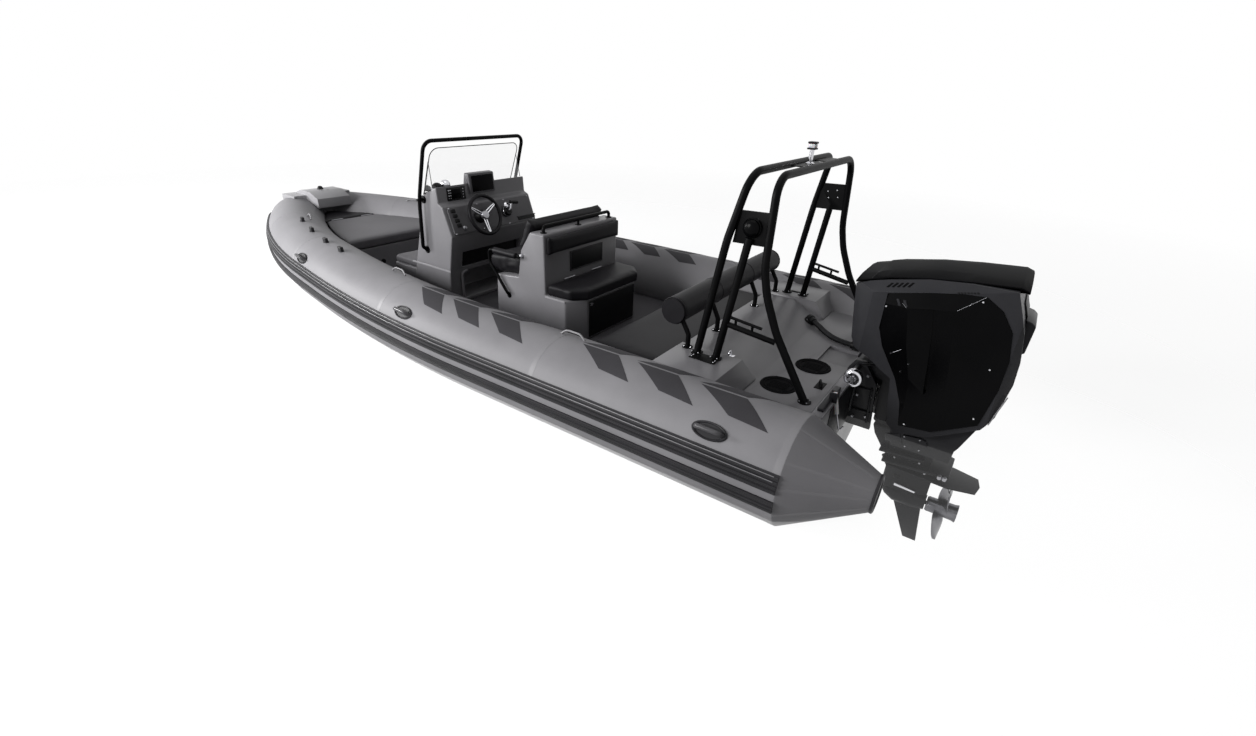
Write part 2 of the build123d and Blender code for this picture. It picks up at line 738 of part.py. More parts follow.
# swivel bracket: hangs from the tilt pin and holds the steering shaft
swivel_half = clamp_inner - 6
swivel_top_z = 350
swivel_low_z = 20
swivel_aft_x = -228
swivel_fore_x = -132
swivel_plan = [(swivel_aft_x, 46), (-203, swivel_half), (60, swivel_half)]     # half; its aft corners pass the leg
swivel_outline = [(tilt_x + 8, tilt_z - tilt_boss_r + 2), (tilt_x + 8, tilt_z + tilt_boss_r - 2),
                  (-130, swivel_top_z), (swivel_aft_x, swivel_top_z), (swivel_aft_x, swivel_low_z),
                  (swivel_fore_x - 20, swivel_low_z), (swivel_fore_x, 60), (swivel_fore_x, 262)]
eye_lug_gap = 24            # from the keel plane to a lug's inner face
eye_lug_t = 18

with BuildPart() as swivel_bracket:
    extrude(outline(swivel_outline), amount=swivel_half, both=True)
    extrude(disc((tilt_x, -swivel_half, tilt_z), (0, 1, 0), tilt_boss_r), amount=2 * swivel_half)
    extrude(outline(both_sides(swivel_plan), Plane.XY), amount=500, mode=Mode.INTERSECT)
    extrude(outline([(-130, 60), (-60, 60), (-60, 280), (-130, 262)]), amount=eye_lug_gap, both=True,
            mode=Mode.SUBTRACT)
    with Locations((-70, 0, 262)):
        Box(90, 2 * eye_lug_gap, 40, mode=Mode.SUBTRACT)
    for side in (1, -1):
        extrude(outline([(swivel_fore_x - 4, 215), (ram_eye[0], 212), (ram_eye[0] + 20, 240), (-80, 285),
                         (swivel_fore_x - 4, 285)],
                        Plane.XZ.offset(-side * (eye_lug_gap + eye_lug_t / 2))), amount=eye_lug_t / 2, both=True)
    extrude(disc((tilt_x, -swivel_half, tilt_z), (0, 1, 0), tilt_pin_r + pin_gap), amount=2 * swivel_half,
            mode=Mode.SUBTRACT)
    extrude(disc((steer_x, 0, swivel_low_z), (0, 0, 1), steer_pin_r + pin_gap),
            amount=swivel_top_z - swivel_low_z, mode=Mode.SUBTRACT)

# tilt ram between the clamp plates: barrel on the lower pin, rod sliding in it
ram_dir = (Vector(ram_eye[0], 0, ram_eye[1]) - Vector(ram_pin[0], 0, ram_pin[1])).normalized()
ram_length = math.dist(ram_pin, ram_eye)
ram_foot = Plane(origin=(ram_pin[0], 0, ram_pin[1]), x_dir=(0, 1, 0), z_dir=ram_dir)
barrel_r = 26
barrel_top = 195            # from the lower pin
rod_r = 11
rod_tail = 28               # the rod's inner end at rest, from the lower pin
eye_r = 12
eye_half = 18
with BuildPart() as ram_barrel:
    with BuildSketch(ram_foot.offset(14)):
        Circle(barrel_r)
    extrude(amount=barrel_top - 14)
    extrude(disc((ram_pin[0], -20, ram_pin[1]), (0, 1, 0), 19), amount=40)
    with BuildSketch(ram_foot.offset(rod_tail - 4)):
        Circle(rod_r + pin_gap)
    extrude(amount=barrel_top, mode=Mode.SUBTRACT)
    extrude(disc((ram_pin[0], -20, ram_pin[1]), (0, 1, 0), ram_pin_r + pin_gap), amount=40,
            mode=Mode.SUBTRACT)

with BuildPart() as ram_rod:
    with BuildSketch(ram_foot.offset(rod_tail)):
        Circle(rod_r)
    extrude(amount=ram_length - rod_tail)
    extrude(disc((ram_eye[0], -eye_half, ram_eye[1]), (0, 1, 0), eye_r), amount=2 * eye_half)

pieces |= {"clamp_bracket": clamp_bracket, "tilt_caps": tilt_caps, "swivel_bracket": swivel_bracket,
           "ram_barrel": ram_barrel, "ram_rod": ram_rod}

# midsection: the leg behind the swivel, with the steering shaft through it
plate_z = -250              # anti-ventilation plate
leg_half = 78
leg_aft_x = -500
# the pan between leg and cowl: seen from the side, and its half section
pan_outline = [(-250, 61), (-250, -30), (-264, -88), (-563, -88), (-568, 20), (-640, 223), (-442, 101), (-275, 61)]
pan_section = [(130, -90), (200, 60), (200, 240)]
yoke_z = (swivel_low_z - 1 - 42, swivel_top_z + 1)      # underside of the lower and upper yoke
yoke_t = (42, 34)
with BuildPart() as midsection:
    extrude(outline([(-270, plate_z + 8), (leg_aft_x + 20, plate_z + 8), (leg_aft_x, 150), (leg_aft_x, 385),
                     (-250, 385), (-250, -60), (-262, -150)]), amount=leg_half, both=True)
    with BuildPart(mode=Mode.PRIVATE) as pan:
        extrude(outline(pan_outline), amount=pan_section[-1][0], both=True)
        extrude(outline(pan_section + [(-y, z) for y, z in reversed(pan_section)], Plane.YZ.offset(-700)),
                amount=500, mode=Mode.INTERSECT)
    add(pan)
    extrude(disc((steer_x, 0, yoke_z[0]), (0, 0, 1), steer_pin_r), amount=yoke_z[1] + yoke_t[1] - yoke_z[0])
    for low, thick in zip(yoke_z, yoke_t):
        extrude(disc((steer_x, 0, low), (0, 0, 1), steer_pin_r + 18), amount=thick)
        with Locations(((steer_x - 260) / 2, 0, low + thick / 2)):
            Box(steer_x + 260, 2 * (steer_pin_r + 12), thick)

# gearcase: plate, strut, torpedo, skeg and propeller shaft
prop_z = -460
torpedo_r = 56
torpedo_nose_x = -272
torpedo_aft_x = -520
skeg_z = -747
shaft_r = 12
prop_aft_x = -690
with BuildPart() as gearcase:
    extrude(outline([(-225, 0), (-270, 95), (-600, 118), (-730, 80), (-745, 0)] +
                    [(-730, -80), (-600, -118), (-270, -95)], Plane.XY.offset(plate_z)), amount=8)
    extrude(outline([(-262, 0), (-330, 34), (-430, 34), (-515, 8), (-515, -8), (-430, -34), (-330, -34)],
                    Plane.XY.offset(prop_z)), amount=plate_z - prop_z)
    with BuildSketch(Plane.XZ) as torpedo:
        with BuildLine():
            nose = [(torpedo_nose_x, prop_z), (torpedo_nose_x - 22, prop_z + 30),
                    (torpedo_nose_x - 75, prop_z + torpedo_r), (torpedo_aft_x + 60, prop_z + torpedo_r),
                    (torpedo_aft_x, prop_z + 44)]
            Polyline(*nose, (torpedo_aft_x, prop_z), close=True)
        make_face()
    revolve(torpedo.sketch, axis=Axis((0, 0, prop_z), (1, 0, 0)))
    extrude(outline([(-330, prop_z), (-500, prop_z), (-535, skeg_z), (-462, skeg_z)]), amount=8, both=True)
    extrude(disc((torpedo_aft_x + 5, 0, prop_z), (-1, 0, 0), shaft_r), amount=torpedo_aft_x + 5 - prop_aft_x)

# propeller: hub and three pitched blades
prop_r = 185
prop_hub_r = 46
blade_count = 3
blade_pitch = 38            # angle of a blade to the disc it sweeps
blade_middle_r = 105        # middle of a blade's oval from the shaft
blade_half_chord = 66
blade_t = 8
prop_fore_x = torpedo_aft_x - 5
prop_mid_x = -604
pitch = math.radians(blade_pitch)
with BuildPart() as propeller:
    extrude(disc((prop_fore_x, 0, prop_z), (-1, 0, 0), prop_hub_r), amount=prop_fore_x - prop_aft_x)
    for blade in range(blade_count):
        turn = math.radians(90 + blade * 360 / blade_count)
        out = Vector(0, math.cos(turn), math.sin(turn))
        chord = Vector(1, 0, 0) * math.sin(pitch) + out.cross(Vector(1, 0, 0)) * math.cos(pitch)
        face = Plane(origin=(prop_mid_x, 0, prop_z), x_dir=chord, z_dir=chord.cross(out))
        with BuildSketch(face, mode=Mode.PRIVATE) as oval:
            with Locations((0, blade_middle_r)):
                Ellipse(blade_half_chord, prop_r - blade_middle_r)
        extrude(oval.sketch, amount=blade_t / 2, both=True)
    extrude(disc((prop_fore_x, 0, prop_z), (-1, 0, 0), shaft_r + pin_gap), amount=prop_fore_x - prop_aft_x,
            mode=Mode.SUBTRACT)

# cowl: frame, side panels and top cap
cowl_half = 268
cowl_panel_in = 250         # inner face of a side panel, from the keel plane
cowl_tunnel_half = 150      # room for the swivel and clamps under the cowl's front
cowl_tunnel_z = 378
cap_half = 225              # half width of the cap's lower edge
cap_crown_half = 110
cap_lip = 12
# the cap's sections, aft to forward: x, z of its side edge, z of its crown
cap_sections = [(-640, 925, 940), (-604, 939, 956), (-419, 932, 952), (-239, 914, 938), (-58, 875, 900),
                (26, 852, 872), (98, 828, 842)]
# the frame seen from the side: its front edge down, then its bottom, rear and top
cowl_outline = [(92, 812), (77, 686), (54, 530), (28, 480), (-57, 446), (-120, 402), (-186, 364), (-198, 290),
                (-208, 200), (-228, 105), (-275, 64), (-442, 104), (-640, 226), (-680, 300), (-704, 480),
                (-698, 595), (-672, 739), (-640, 828), (-600, 925)]
cowl_outline += [(x, edge - cap_lip) for x, edge, _ in cap_sections[2:6]]
# half of the frame seen from above
cowl_plan = [(-730, 195), (-655, 262), (-400, cowl_half), (-4, 262), (100, 222)]
# a side panel seen from the side, and its outer face seen from above, proud of the frame at its crease
panel_outline = [(-4, 783), (-58, 659), (-109, 525), (-209, 371), (-262, 246), (-285, 120), (-435, 142),
                 (-622, 248), (-653, 452), (-655, 597), (-626, 741), (-564, 830), (-488, 880), (-394, 874),
                 (-259, 848), (-80, 806)]
panel_crease = (-420, 284)
# the shoulder between cap and panel: a plane through its lower edge at the front and at the rear
shoulder_fore, shoulder_aft = (60, 776), (-600, 921)
shoulder_rise = 62


def cowl_shoulder(side):
    """A long wedge that bevels the frame's top edge on one side."""
    fore, aft = Vector(shoulder_fore[0], 0, shoulder_fore[1]), Vector(shoulder_aft[0], 0, shoulder_aft[1])
    along = (aft - fore).normalized()
    start = Plane(origin=fore - along * 120, x_dir=(0, side, 0), z_dir=along)
    up = 1 if start.y_dir.Z > 0 else -1
    wedge = outline([(cowl_half, 0), (cap_half, up * shoulder_rise), (cap_half, up * 300), (400, up * 300),
                     (400, -up * 190)], start)
    return extrude(wedge, amount=(aft - fore).length + 400, mode=Mode.PRIVATE)


def panel_space(side):
    """One side panel, as a pocket in the frame and as the piece that fills it."""
    face = [(60, cowl_panel_in), (60, 255), panel_crease, (-700, 262), (-700, cowl_panel_in)]
    with BuildPart(mode=Mode.PRIVATE) as space:
        extrude(outline(panel_outline, Plane.XZ.offset(-side * (cowl_panel_in - 1))), amount=-side * 60)
        extrude(outline([(x, side * y) for x, y in face], Plane.XY), amount=1000, mode=Mode.INTERSECT)
    return space.part


with BuildPart() as cowl_frame:
    extrude(outline(cowl_outline), amount=cowl_half, both=True)
    extrude(outline(both_sides(cowl_plan), Plane.XY), amount=1100, mode=Mode.INTERSECT)
    for side in (1, -1):
        add(cowl_shoulder(side), mode=Mode.SUBTRACT)
        add(panel_space(side), mode=Mode.SUBTRACT)
    with Locations((0, 0, cowl_tunnel_z - 200)):
        Box(520, 2 * cowl_tunnel_half, 400, mode=Mode.SUBTRACT)
    add(midsection, mode=Mode.SUBTRACT)

with BuildPart() as cowl_panels:
    for side in (1, -1):
        add(panel_space(side))

with BuildPart() as cowl_cap:
    loft([outline([(-cap_half, edge - cap_lip), (-cap_half, edge), (-cap_crown_half, crown),
                   (cap_crown_half, crown), (cap_half, edge), (cap_half, edge - cap_lip)], Plane.YZ.offset(x))
          for x, edge, crown in cap_sections], ruled=True)
    add(cowl_frame, mode=Mode.SUBTRACT)

pieces |= {"midsection": midsection, "gearcase": gearcase, "propeller": propeller, "cowl_frame": cowl_frame,
           "cowl_panels": cowl_panels, "cowl_cap": cowl_cap}

# ---------------------------------------------------------------- eyes, glands and hose

# towing lugs: an upright plate under the stem, and level ones on the transom, each with a round bore
lug_t = 12
lug_r = 26
lug_bore_r = 12
bow_lug = Vector(5512, 0, -52)
stern_lug = Vector(-28, 600, 120)


def lug(bore, root, axis):
    """Add one lug to the open part, from its rounded tip back to a point inside what carries it."""
    toward = root - bore
    with BuildSketch(Plane(origin=bore - axis * lug_t / 2, x_dir=toward, z_dir=axis)) as plate:
        Circle(lug_r)
        with Locations((toward.length / 2, 0)):
            Rectangle(toward.length, 2 * lug_r)
        Circle(lug_bore_r, mode=Mode.SUBTRACT)
    extrude(plate.sketch, amount=lug_t)


with BuildPart() as tow_eyes:
    lug(bow_lug, Vector(5494, 0, 30), Vector(0, 1, 0))
    add(hull_bottom, mode=Mode.SUBTRACT)
    for side in (1, -1):
        lug(Vector(stern_lug.X, side * stern_lug.Y, stern_lug.Z), Vector(0, side * stern_lug.Y, stern_lug.Z),
            Vector(0, 0, 1))

# eyes for the grab line, on the tubes' forward half: station and angle round the tube
line_eye_places = [(3758, 84), (4048, 84), (4414, 88), (4786, 91)]
eye_pad = (34, 20, 5)       # half length, half width, thickness
eye_bar_r = 4
with BuildPart() as line_eyes:
    for station, angle in line_eye_places:
        skin = on_tube(station, angle)
        with BuildSketch(skin.offset(-6)) as pad:
            Ellipse(eye_pad[0], eye_pad[1])
        extrude(pad.sketch, amount=6 + eye_pad[2])
        add(tube_space, mode=Mode.SUBTRACT)
        bar([skin.from_local_coords(Vector(*at)) for at in ((-20, 0, 3), (-20, 0, 27), (20, 0, 27), (20, 0, 3))],
            [9, 9], eye_bar_r)
    mirror(about=Plane.XZ)

# the engine's rigging hose: a gland on the ramp, a gland on the deck by the transom, and the route between them
hose_r = 17
gland_r = 24
gland_length = 44
ramp_gland = (476, -455, 299)
hose_route = [(437, -423, 306), (397, -388, 304), (350, -338, 299), (300, -290, 297.5), (255, -255, 297),
              (212, -234, 297.5), (170, -223.5, 297), (130, -219, 297.5)]
hose_boss = (30, 44)        # radius and height of the gland's boss on the deck
hose_start, hose_end = Vector(*hose_route[0]), Vector(*hose_route[-1])
leave = (Vector(*hose_route[1]) - hose_start).normalized()
arrive = (hose_end - Vector(*hose_route[-2])).normalized()

hose_bends = []
for before, at, after in zip(hose_route, hose_route[1:], hose_route[2:]):
    here = Vector(*at)
    run_in, run_out = here - Vector(*before), Vector(*after) - here
    half_turn = math.radians(run_in.get_angle(run_out)) / 2
    hose_bends.append(0.45 * min(run_in.length, run_out.length) / math.tan(half_turn))
print("hose radii", [round(bend) for bend in hose_bends])

with BuildPart() as rigging_hose:
    bar(hose_route, hose_bends, hose_r)

with BuildPart() as hose_glands:
    extrude(disc(hose_start, -leave, gland_r), amount=gland_length)
    ramp_rise = math.atan2(platform_z - well_z, ramp_top_x - ramp_foot_x)
    ramp_out = Vector(-math.sin(ramp_rise), 0, math.cos(ramp_rise))
    extrude(disc((476, -455, 292), ramp_out, 38), amount=10)
    add(aft_deck, mode=Mode.SUBTRACT)
    extrude(disc(hose_end, arrive, gland_r), amount=20)
    boss = hose_end + arrive * 36
    extrude(disc((boss.X, boss.Y, well_z - 2), (0, 0, 1), hose_boss[0]), amount=hose_boss[1] + 2)
    add(aft_deck, mode=Mode.SUBTRACT)

pieces |= {"tow_eyes": tow_eyes, "line_eyes": line_eyes, "rigging_hose": rigging_hose,
           "hose_glands": hose_glands}

# ---------------------------------------------------------------- write the pieces
for name, piece in pieces.items():
    piece.part.label = name
    export_step(piece.part, f"parts/{name}.step")
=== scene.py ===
import bmesh
import bpy
import math
from mathutils import Matrix, Vector


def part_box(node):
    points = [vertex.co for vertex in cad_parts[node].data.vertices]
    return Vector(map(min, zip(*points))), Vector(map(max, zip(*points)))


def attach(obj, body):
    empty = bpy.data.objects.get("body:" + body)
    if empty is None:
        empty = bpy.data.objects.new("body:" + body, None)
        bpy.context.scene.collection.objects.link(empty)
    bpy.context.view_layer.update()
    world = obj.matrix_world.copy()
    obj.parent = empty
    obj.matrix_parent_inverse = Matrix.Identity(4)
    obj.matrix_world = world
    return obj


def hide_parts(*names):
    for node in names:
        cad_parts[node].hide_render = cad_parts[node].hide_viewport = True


# A rigid inflatable boat afloat, in metres: X to the bow, Y to port, Z up from the waterline.

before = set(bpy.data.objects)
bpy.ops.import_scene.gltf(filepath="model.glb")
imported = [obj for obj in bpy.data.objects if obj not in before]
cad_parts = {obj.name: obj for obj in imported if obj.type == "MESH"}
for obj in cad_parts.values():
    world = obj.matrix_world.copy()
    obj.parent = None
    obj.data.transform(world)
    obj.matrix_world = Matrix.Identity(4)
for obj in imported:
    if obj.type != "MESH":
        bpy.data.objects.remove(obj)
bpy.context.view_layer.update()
scene = bpy.context.scene
scene.view_settings.view_transform = "Standard"
FULL_TURN = 6.283185        # radians
SIXTH_TURN = 1.047

# ------------------------------------------------------------------ camera

eye = Vector((-0.525, 3.209, 1.675))
right, up, back = (-0.81729, -0.57496, 0.03823), (0.28551, -0.34643, 0.89357), (-0.50052, 0.74122, 0.44729)
camera = bpy.data.objects.new("camera", bpy.data.cameras.new("camera"))
camera.data.lens, camera.data.sensor_width, camera.data.sensor_fit = 16.151, 36, "HORIZONTAL"
camera.matrix_world = Matrix.Translation(eye) @ Matrix((right, up, back)).transposed().to_4x4()
scene.collection.objects.link(camera)
scene.camera = camera

# ------------------------------------------------------------------ finishes


def srgb(code):
    """A hex colour as linear RGBA."""
    parts = [int(code[at:at + 2], 16) / 255 for at in (1, 3, 5)]
    return [c / 12.92 if c <= 0.04045 else ((c + 0.055) / 1.055) ** 2.4 for c in parts] + [1]


def add_node(tree, kind, settings=None, **links):
    """Add one node: settings by attribute or socket name, links by socket name with spaces as underscores."""
    made = tree.nodes.new(kind)
    for key, value in (settings or {}).items():
        if isinstance(key, int) or key in made.inputs:
            made.inputs[key].default_value = value
        else:
            setattr(made, key, value)
    for key, source in links.items():
        socket = int(key[1:]) if key[1:].isdigit() else key.replace("_", " ")
        tree.links.new(source, made.inputs[socket])
    return made


def open_finish(name, shader):
    """A new material with its shader's own sockets set; returns it with its tree and shader."""
    made = bpy.data.materials.new(name)
    made.use_nodes = True
    made.node_tree.nodes.clear()
    tree = made.node_tree
    surface = add_node(tree, "ShaderNodeBsdfPrincipled", shader)
    add_node(tree, "ShaderNodeOutputMaterial", Surface=surface.outputs["BSDF"])
    return made, tree, surface


def grained(name, low, high, rough, grain_mm, depth_mm, specular=0.5, blotch_mm=400.0, pattern="noise",
            shader=None):
    """A surface whose colour drifts between two shades, with a relief of a real grain size."""
    made, tree, surface = open_finish(name, {"Specular IOR Level": specular, **(shader or {})})
    place = add_node(tree, "ShaderNodeTexCoord").outputs["Object"]
    drift = add_node(tree, "ShaderNodeTexNoise", {"Scale": 1000 / blotch_mm, "Detail": 4.0, "Roughness": 0.6},
                     Vector=place)
    shades = add_node(tree, "ShaderNodeValToRGB", Fac=drift.outputs["Fac"])
    shades.color_ramp.elements[0].position, shades.color_ramp.elements[1].position = 0.35, 0.68
    shades.color_ramp.elements[0].color, shades.color_ramp.elements[1].color = srgb(low), srgb(high)
    tree.links.new(shades.outputs["Color"], surface.inputs["Base Color"])
    gloss = add_node(tree, "ShaderNodeMapRange", {"To Min": rough - 0.06, "To Max": rough + 0.08},
                     Value=drift.outputs["Fac"])
    tree.links.new(gloss.outputs["Result"], surface.inputs["Roughness"])
    if pattern == "noise":
        relief = add_node(tree, "ShaderNodeTexNoise", {"Scale": 1000 / grain_mm, "Detail": 3.0},
                          Vector=place).outputs["Fac"]
    elif pattern == "pebble":
        relief = add_node(tree, "ShaderNodeTexVoronoi", {"Scale": 1000 / grain_mm},
                          Vector=place).outputs["Distance"]
    else:
        weave = {"Scale": 1000 / grain_mm / 6.283, "wave_type": "BANDS"}
        across, along = [add_node(tree, "ShaderNodeTexWave", {**weave, "bands_direction": way}, Vector=place)
                         for way in "XZ"]
        relief = add_node(tree, "ShaderNodeMath", {"operation": "MULTIPLY"}, _0=across.outputs["Fac"],
                          _1=along.outputs["Fac"]).outputs[0]
    bump = add_node(tree, "ShaderNodeBump", {"Distance": depth_mm / 1000, "Strength": 0.6}, Height=relief)
    tree.links.new(bump.outputs["Normal"], surface.inputs["Normal"])
    return made


# coated fabric: a calendered rubber skin over a weave too fine to see, soft low sheen, slight clouding
tube_skin = grained("coated_tube_fabric", "#79787b", "#828184", 0.5, 3.5, 0.12, 0.22)
# bonded non-slip fabric: darker, with a coarse pressed weave
grip_skin = grained("pressed_grip_fabric", "#353437", "#3e3d40", 0.66, 7, 0.5, 0.15, pattern="weave")
# pressed rubber with a skin from the mould: takes small bright highlights
grip_rubber = grained("pressed_grip_rubber", "#3b3a3d", "#454447", 0.26, 5, 0.05, 0.35)
# pale rubber for thin pipings: a painted highlight, the bright line where the light rakes the strake's ribs
rib_highlight_rubber = grained("painted_rib_highlight_rubber", "#6f6e71", "#7b7a7d", 0.35, 5, 0.05, 0.4)
# extruded rubber: darker and smoother than the tube
strake_rubber = grained("extruded_rubber", "#1d1d1f", "#262528", 0.45, 5, 0.08, 0.2)
# polished gelcoat over glass fibre: faint waviness under a hard gloss
gelcoat = grained("polished_gelcoat", "#737275", "#7a797c", 0.3, 90, 0.25, 0.22)
pale_gelcoat = grained("pale_gelcoat", "#8d8c8f", "#959497", 0.28, 90, 0.2, 0.25)
# moulded non-slip gelcoat: a pebble relief about 6 mm across
grip_gelcoat = grained("non_slip_gelcoat", "#454447", "#4e4d50", 0.55, 6, 0.6, 0.12, pattern="pebble")
# marine vinyl: soft calf-like grain about 4 mm across, with a low sheen
black_vinyl = grained("black_marine_vinyl", "#0f0e11", "#171619", 0.48, 4, 0.22, 0.12, pattern="pebble",
                      blotch_mm=250)
# satin powder coat on tube steel: fine orange peel
black_coat = grained("black_powder_coat", "#060607", "#0b0b0c", 0.4, 2.5, 0.05, 0.05, blotch_mm=120)
# injection-moulded plastic with an eroded texture
black_plastic = grained("moulded_black_plastic", "#070708", "#0d0d0f", 0.42, 2, 0.05, 0.12, blotch_mm=90)
dash_plastic = grained("satin_dash_panel", "#29282b", "#323134", 0.4, 2, 0.04, 0.18, blotch_mm=150)
hose_rubber = grained("corrugated_rubber", "#0b0b0d", "#141416", 0.5, 3, 0.08, 0.15, blotch_mm=80)
# sprayed metallic paint under lacquer, on the engine's frame and its castings
engine_grey = grained("lacquered_grey_paint", "#2c2c2f", "#343437", 0.36, 1.5, 0.02, 0.1, blotch_mm=300)
engine_black = grained("lacquered_black_cover", "#040405", "#080809", 0.22, 120, 0.12, 0.05, blotch_mm=300)
engine_lid = grained("satin_black_lid", "#070708", "#0c0c0e", 0.5, 60, 0.1, 0.015, blotch_mm=300)
casting_black = grained("painted_casting", "#121215", "#1b1b1e", 0.38, 6, 0.15, 0.2, blotch_mm=150)
polished_steel = grained("polished_stainless", "#c4c4c8", "#d4d4d8", 0.16, 25, 0.03, shader={"Metallic": 1.0},
                         blotch_mm=60)
# cast stainless, only roughly polished: darker than the fittings
screw_steel = grained("cast_stainless", "#58585c", "#707074", 0.3, 12, 0.08, shader={"Metallic": 1.0},
                      blotch_mm=60)
worn_steel = grained("brushed_stainless", "#8a8a8e", "#a2a2a6", 0.34, 8, 0.05, shader={"Metallic": 1.0},
                     blotch_mm=60)
white_lens = grained("frosted_lens", "#c9c9cc", "#d6d6d9", 0.25, 5, 0.05, shader={"Subsurface Weight": 0.2},
                     blotch_mm=60)
dark_glass = grained("display_glass", "#030304", "#050507", 0.25, 200, 0.01, 0.03)
# cast acrylic sheet, thin and nearly clear
acrylic, acrylic_tree, acrylic_shader = open_finish("cast_acrylic", {
    "Base Color": srgb("#f1f2f4"), "Roughness": 0.05, "IOR": 1.49, "Transmission Weight": 0.0, "Alpha": 0.045,
    "Specular IOR Level": 0.4})
sheet_place = add_node(acrylic_tree, "ShaderNodeTexCoord").outputs["Object"]
sheet_haze = add_node(acrylic_tree, "ShaderNodeTexNoise", {"Scale": 6.0, "Detail": 5.0}, Vector=sheet_place)
haze_level = add_node(acrylic_tree, "ShaderNodeMapRange", {"To Min": 0.03, "To Max": 0.1},
                      Value=sheet_haze.outputs["Fac"])
acrylic_tree.links.new(haze_level.outputs["Result"], acrylic_shader.inputs["Roughness"])

# ------------------------------------------------------------------ mesh making


def shade(mesh, limit=35):
    """Smooth faces, with a hard edge where two faces turn by more than the limit."""
    shape = bmesh.new()
    shape.from_mesh(mesh)
    for face in shape.faces:
        face.smooth = True
    for edge in shape.edges:
        edge.smooth = len(edge.link_faces) == 2 and edge.calc_face_angle(0) < math.radians(limit)
    shape.to_mesh(mesh)
    shape.free()


def place(name, mesh, finish, body="boat", limit=35, over=(), slot=None):
    """Put a finished mesh in the scene on a body; it may stand for CAD nodes."""
    made = bpy.data.objects.new(name, mesh)
    scene.collection.objects.link(made)
    if finish:
        mesh.materials.clear()
        mesh.materials.append(finish)
    shade(mesh, limit)
    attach(made, body)
    if over:
        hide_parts(*over)
    return made


def bake(made):
    """Turn an object's live modifiers into its plain mesh."""
    mesh = bpy.data.meshes.new_from_object(made.evaluated_get(bpy.context.evaluated_depsgraph_get()))
    made.modifiers.clear()
    made.data = mesh
    return mesh


def eased(mesh, width, segments=3, angle=28):
    """Round a mesh's hard edges and return the new mesh."""
    holder = bpy.data.objects.new("holder", mesh)
    scene.collection.objects.link(holder)
    bevel = holder.modifiers.new("bevel", "BEVEL")
    bevel.width, bevel.segments = width, segments
    bevel.limit_method, bevel.angle_limit = "ANGLE", math.radians(angle)
    bevel.use_clamp_overlap = True
    mesh = bake(holder)
    bpy.data.objects.remove(holder)
    return mesh


def mesh_of(name, points, faces):
    """A mesh from points and faces, its doubled points merged and its faces turned outward."""
    mesh = bpy.data.meshes.new(name)
    mesh.from_pydata([tuple(at) for at in points], [], faces)
    shape = bmesh.new()
    shape.from_mesh(mesh)
    bmesh.ops.remove_doubles(shape, verts=shape.verts, dist=1e-6)
    bmesh.ops.recalc_face_normals(shape, faces=shape.faces)
    shape.to_mesh(mesh)
    shape.free()
    return mesh


def joined(name, *meshes):
    """Several meshes as one."""
    shape = bmesh.new()
    for mesh in meshes:
        shape.from_mesh(mesh)
    whole = bpy.data.meshes.new(name)
    shape.to_mesh(whole)
    shape.free()
    return whole


def flipped(mesh):
    """The same mesh on the other side of the keel plane."""
    shape = bmesh.new()
    shape.from_mesh(mesh)
    bmesh.ops.transform(shape, matrix=Matrix.Scale(-1, 4, (0, 1, 0)), verts=shape.verts)
    bmesh.ops.recalc_face_normals(shape, faces=shape.faces)
    other = bpy.data.meshes.new(mesh.name)
    shape.to_mesh(other)
    shape.free()
    return other


def copied(node, ease=0.0, segments=3):
    """A CAD node's mesh as one skin, its flat faces joined, its edges eased."""
    shape = bmesh.new()
    shape.from_mesh(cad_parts[node].data)
    bmesh.ops.remove_doubles(shape, verts=shape.verts, dist=2e-5)
    bmesh.ops.dissolve_limit(shape, angle_limit=math.radians(1.0), verts=shape.verts, edges=shape.edges)
    mesh = bpy.data.meshes.new(node)
    shape.to_mesh(mesh)
    shape.free()
    return eased(mesh, ease, segments) if ease else mesh


def stacked(rings, sides, closed=False):
    """Faces between stacked rings of points; both ends are shut unless the stack closes on itself."""
    faces = []
    for ring in range(rings if closed else rings - 1):
        here, there = ring * sides, (ring + 1) % rings * sides
        faces += [[here + k, here + (k + 1) % sides, there + (k + 1) % sides, there + k]
                  for k in range(sides)]
    return faces if closed else faces + [list(range(sides)), list(range((rings - 1) * sides, rings * sides))]


def walls(count):
    """Faces of a plate between two like outlines: its two sides first, then its rim."""
    faces = stacked(2, count)
    return faces[-2:] + faces[:-2]


def prism(outline, axis, low, high, ease=0.0, segments=3):
    """A closed form from an outline across x, y or z, between two levels along it."""
    def at(pair, level):
        return {"x": (level, pair[0], pair[1]), "y": (pair[0], level, pair[1]),
                "z": (pair[0], pair[1], level)}[axis]
    points = [at(pair, level) for level in (low, high) for pair in outline]
    mesh = mesh_of("prism", points, walls(len(outline)))
    return eased(mesh, ease, segments) if ease else mesh


def block(low, high, ease=0.0, segments=3):
    """A box between two opposite corners."""
    return prism([(low[0], low[2]), (high[0], low[2]), (high[0], high[2]), (low[0], high[2])], "y", low[1],
                 high[1], ease, segments)


def facing(normal, lean=(0, 0, 1)):
    """A turn whose local z is the normal and whose local y leans to a given way."""
    z = Vector(normal).normalized()
    x = Vector(lean).cross(z)
    if x.length < 1e-5:
        x = Vector((1, 0, 0)).cross(z) if abs(z.x) < 0.9 else Vector((0, 1, 0)).cross(z)
    x.normalize()
    return Matrix((x, z.cross(x), z)).transposed()


def moved(mesh, origin, normal=(0, 0, 1), lean=(0, 0, 1)):
    """Stand a mesh made round local z on a point, facing a way."""
    mesh.transform(Matrix.Translation(Vector(origin)) @ facing(normal, lean).to_4x4())
    return mesh


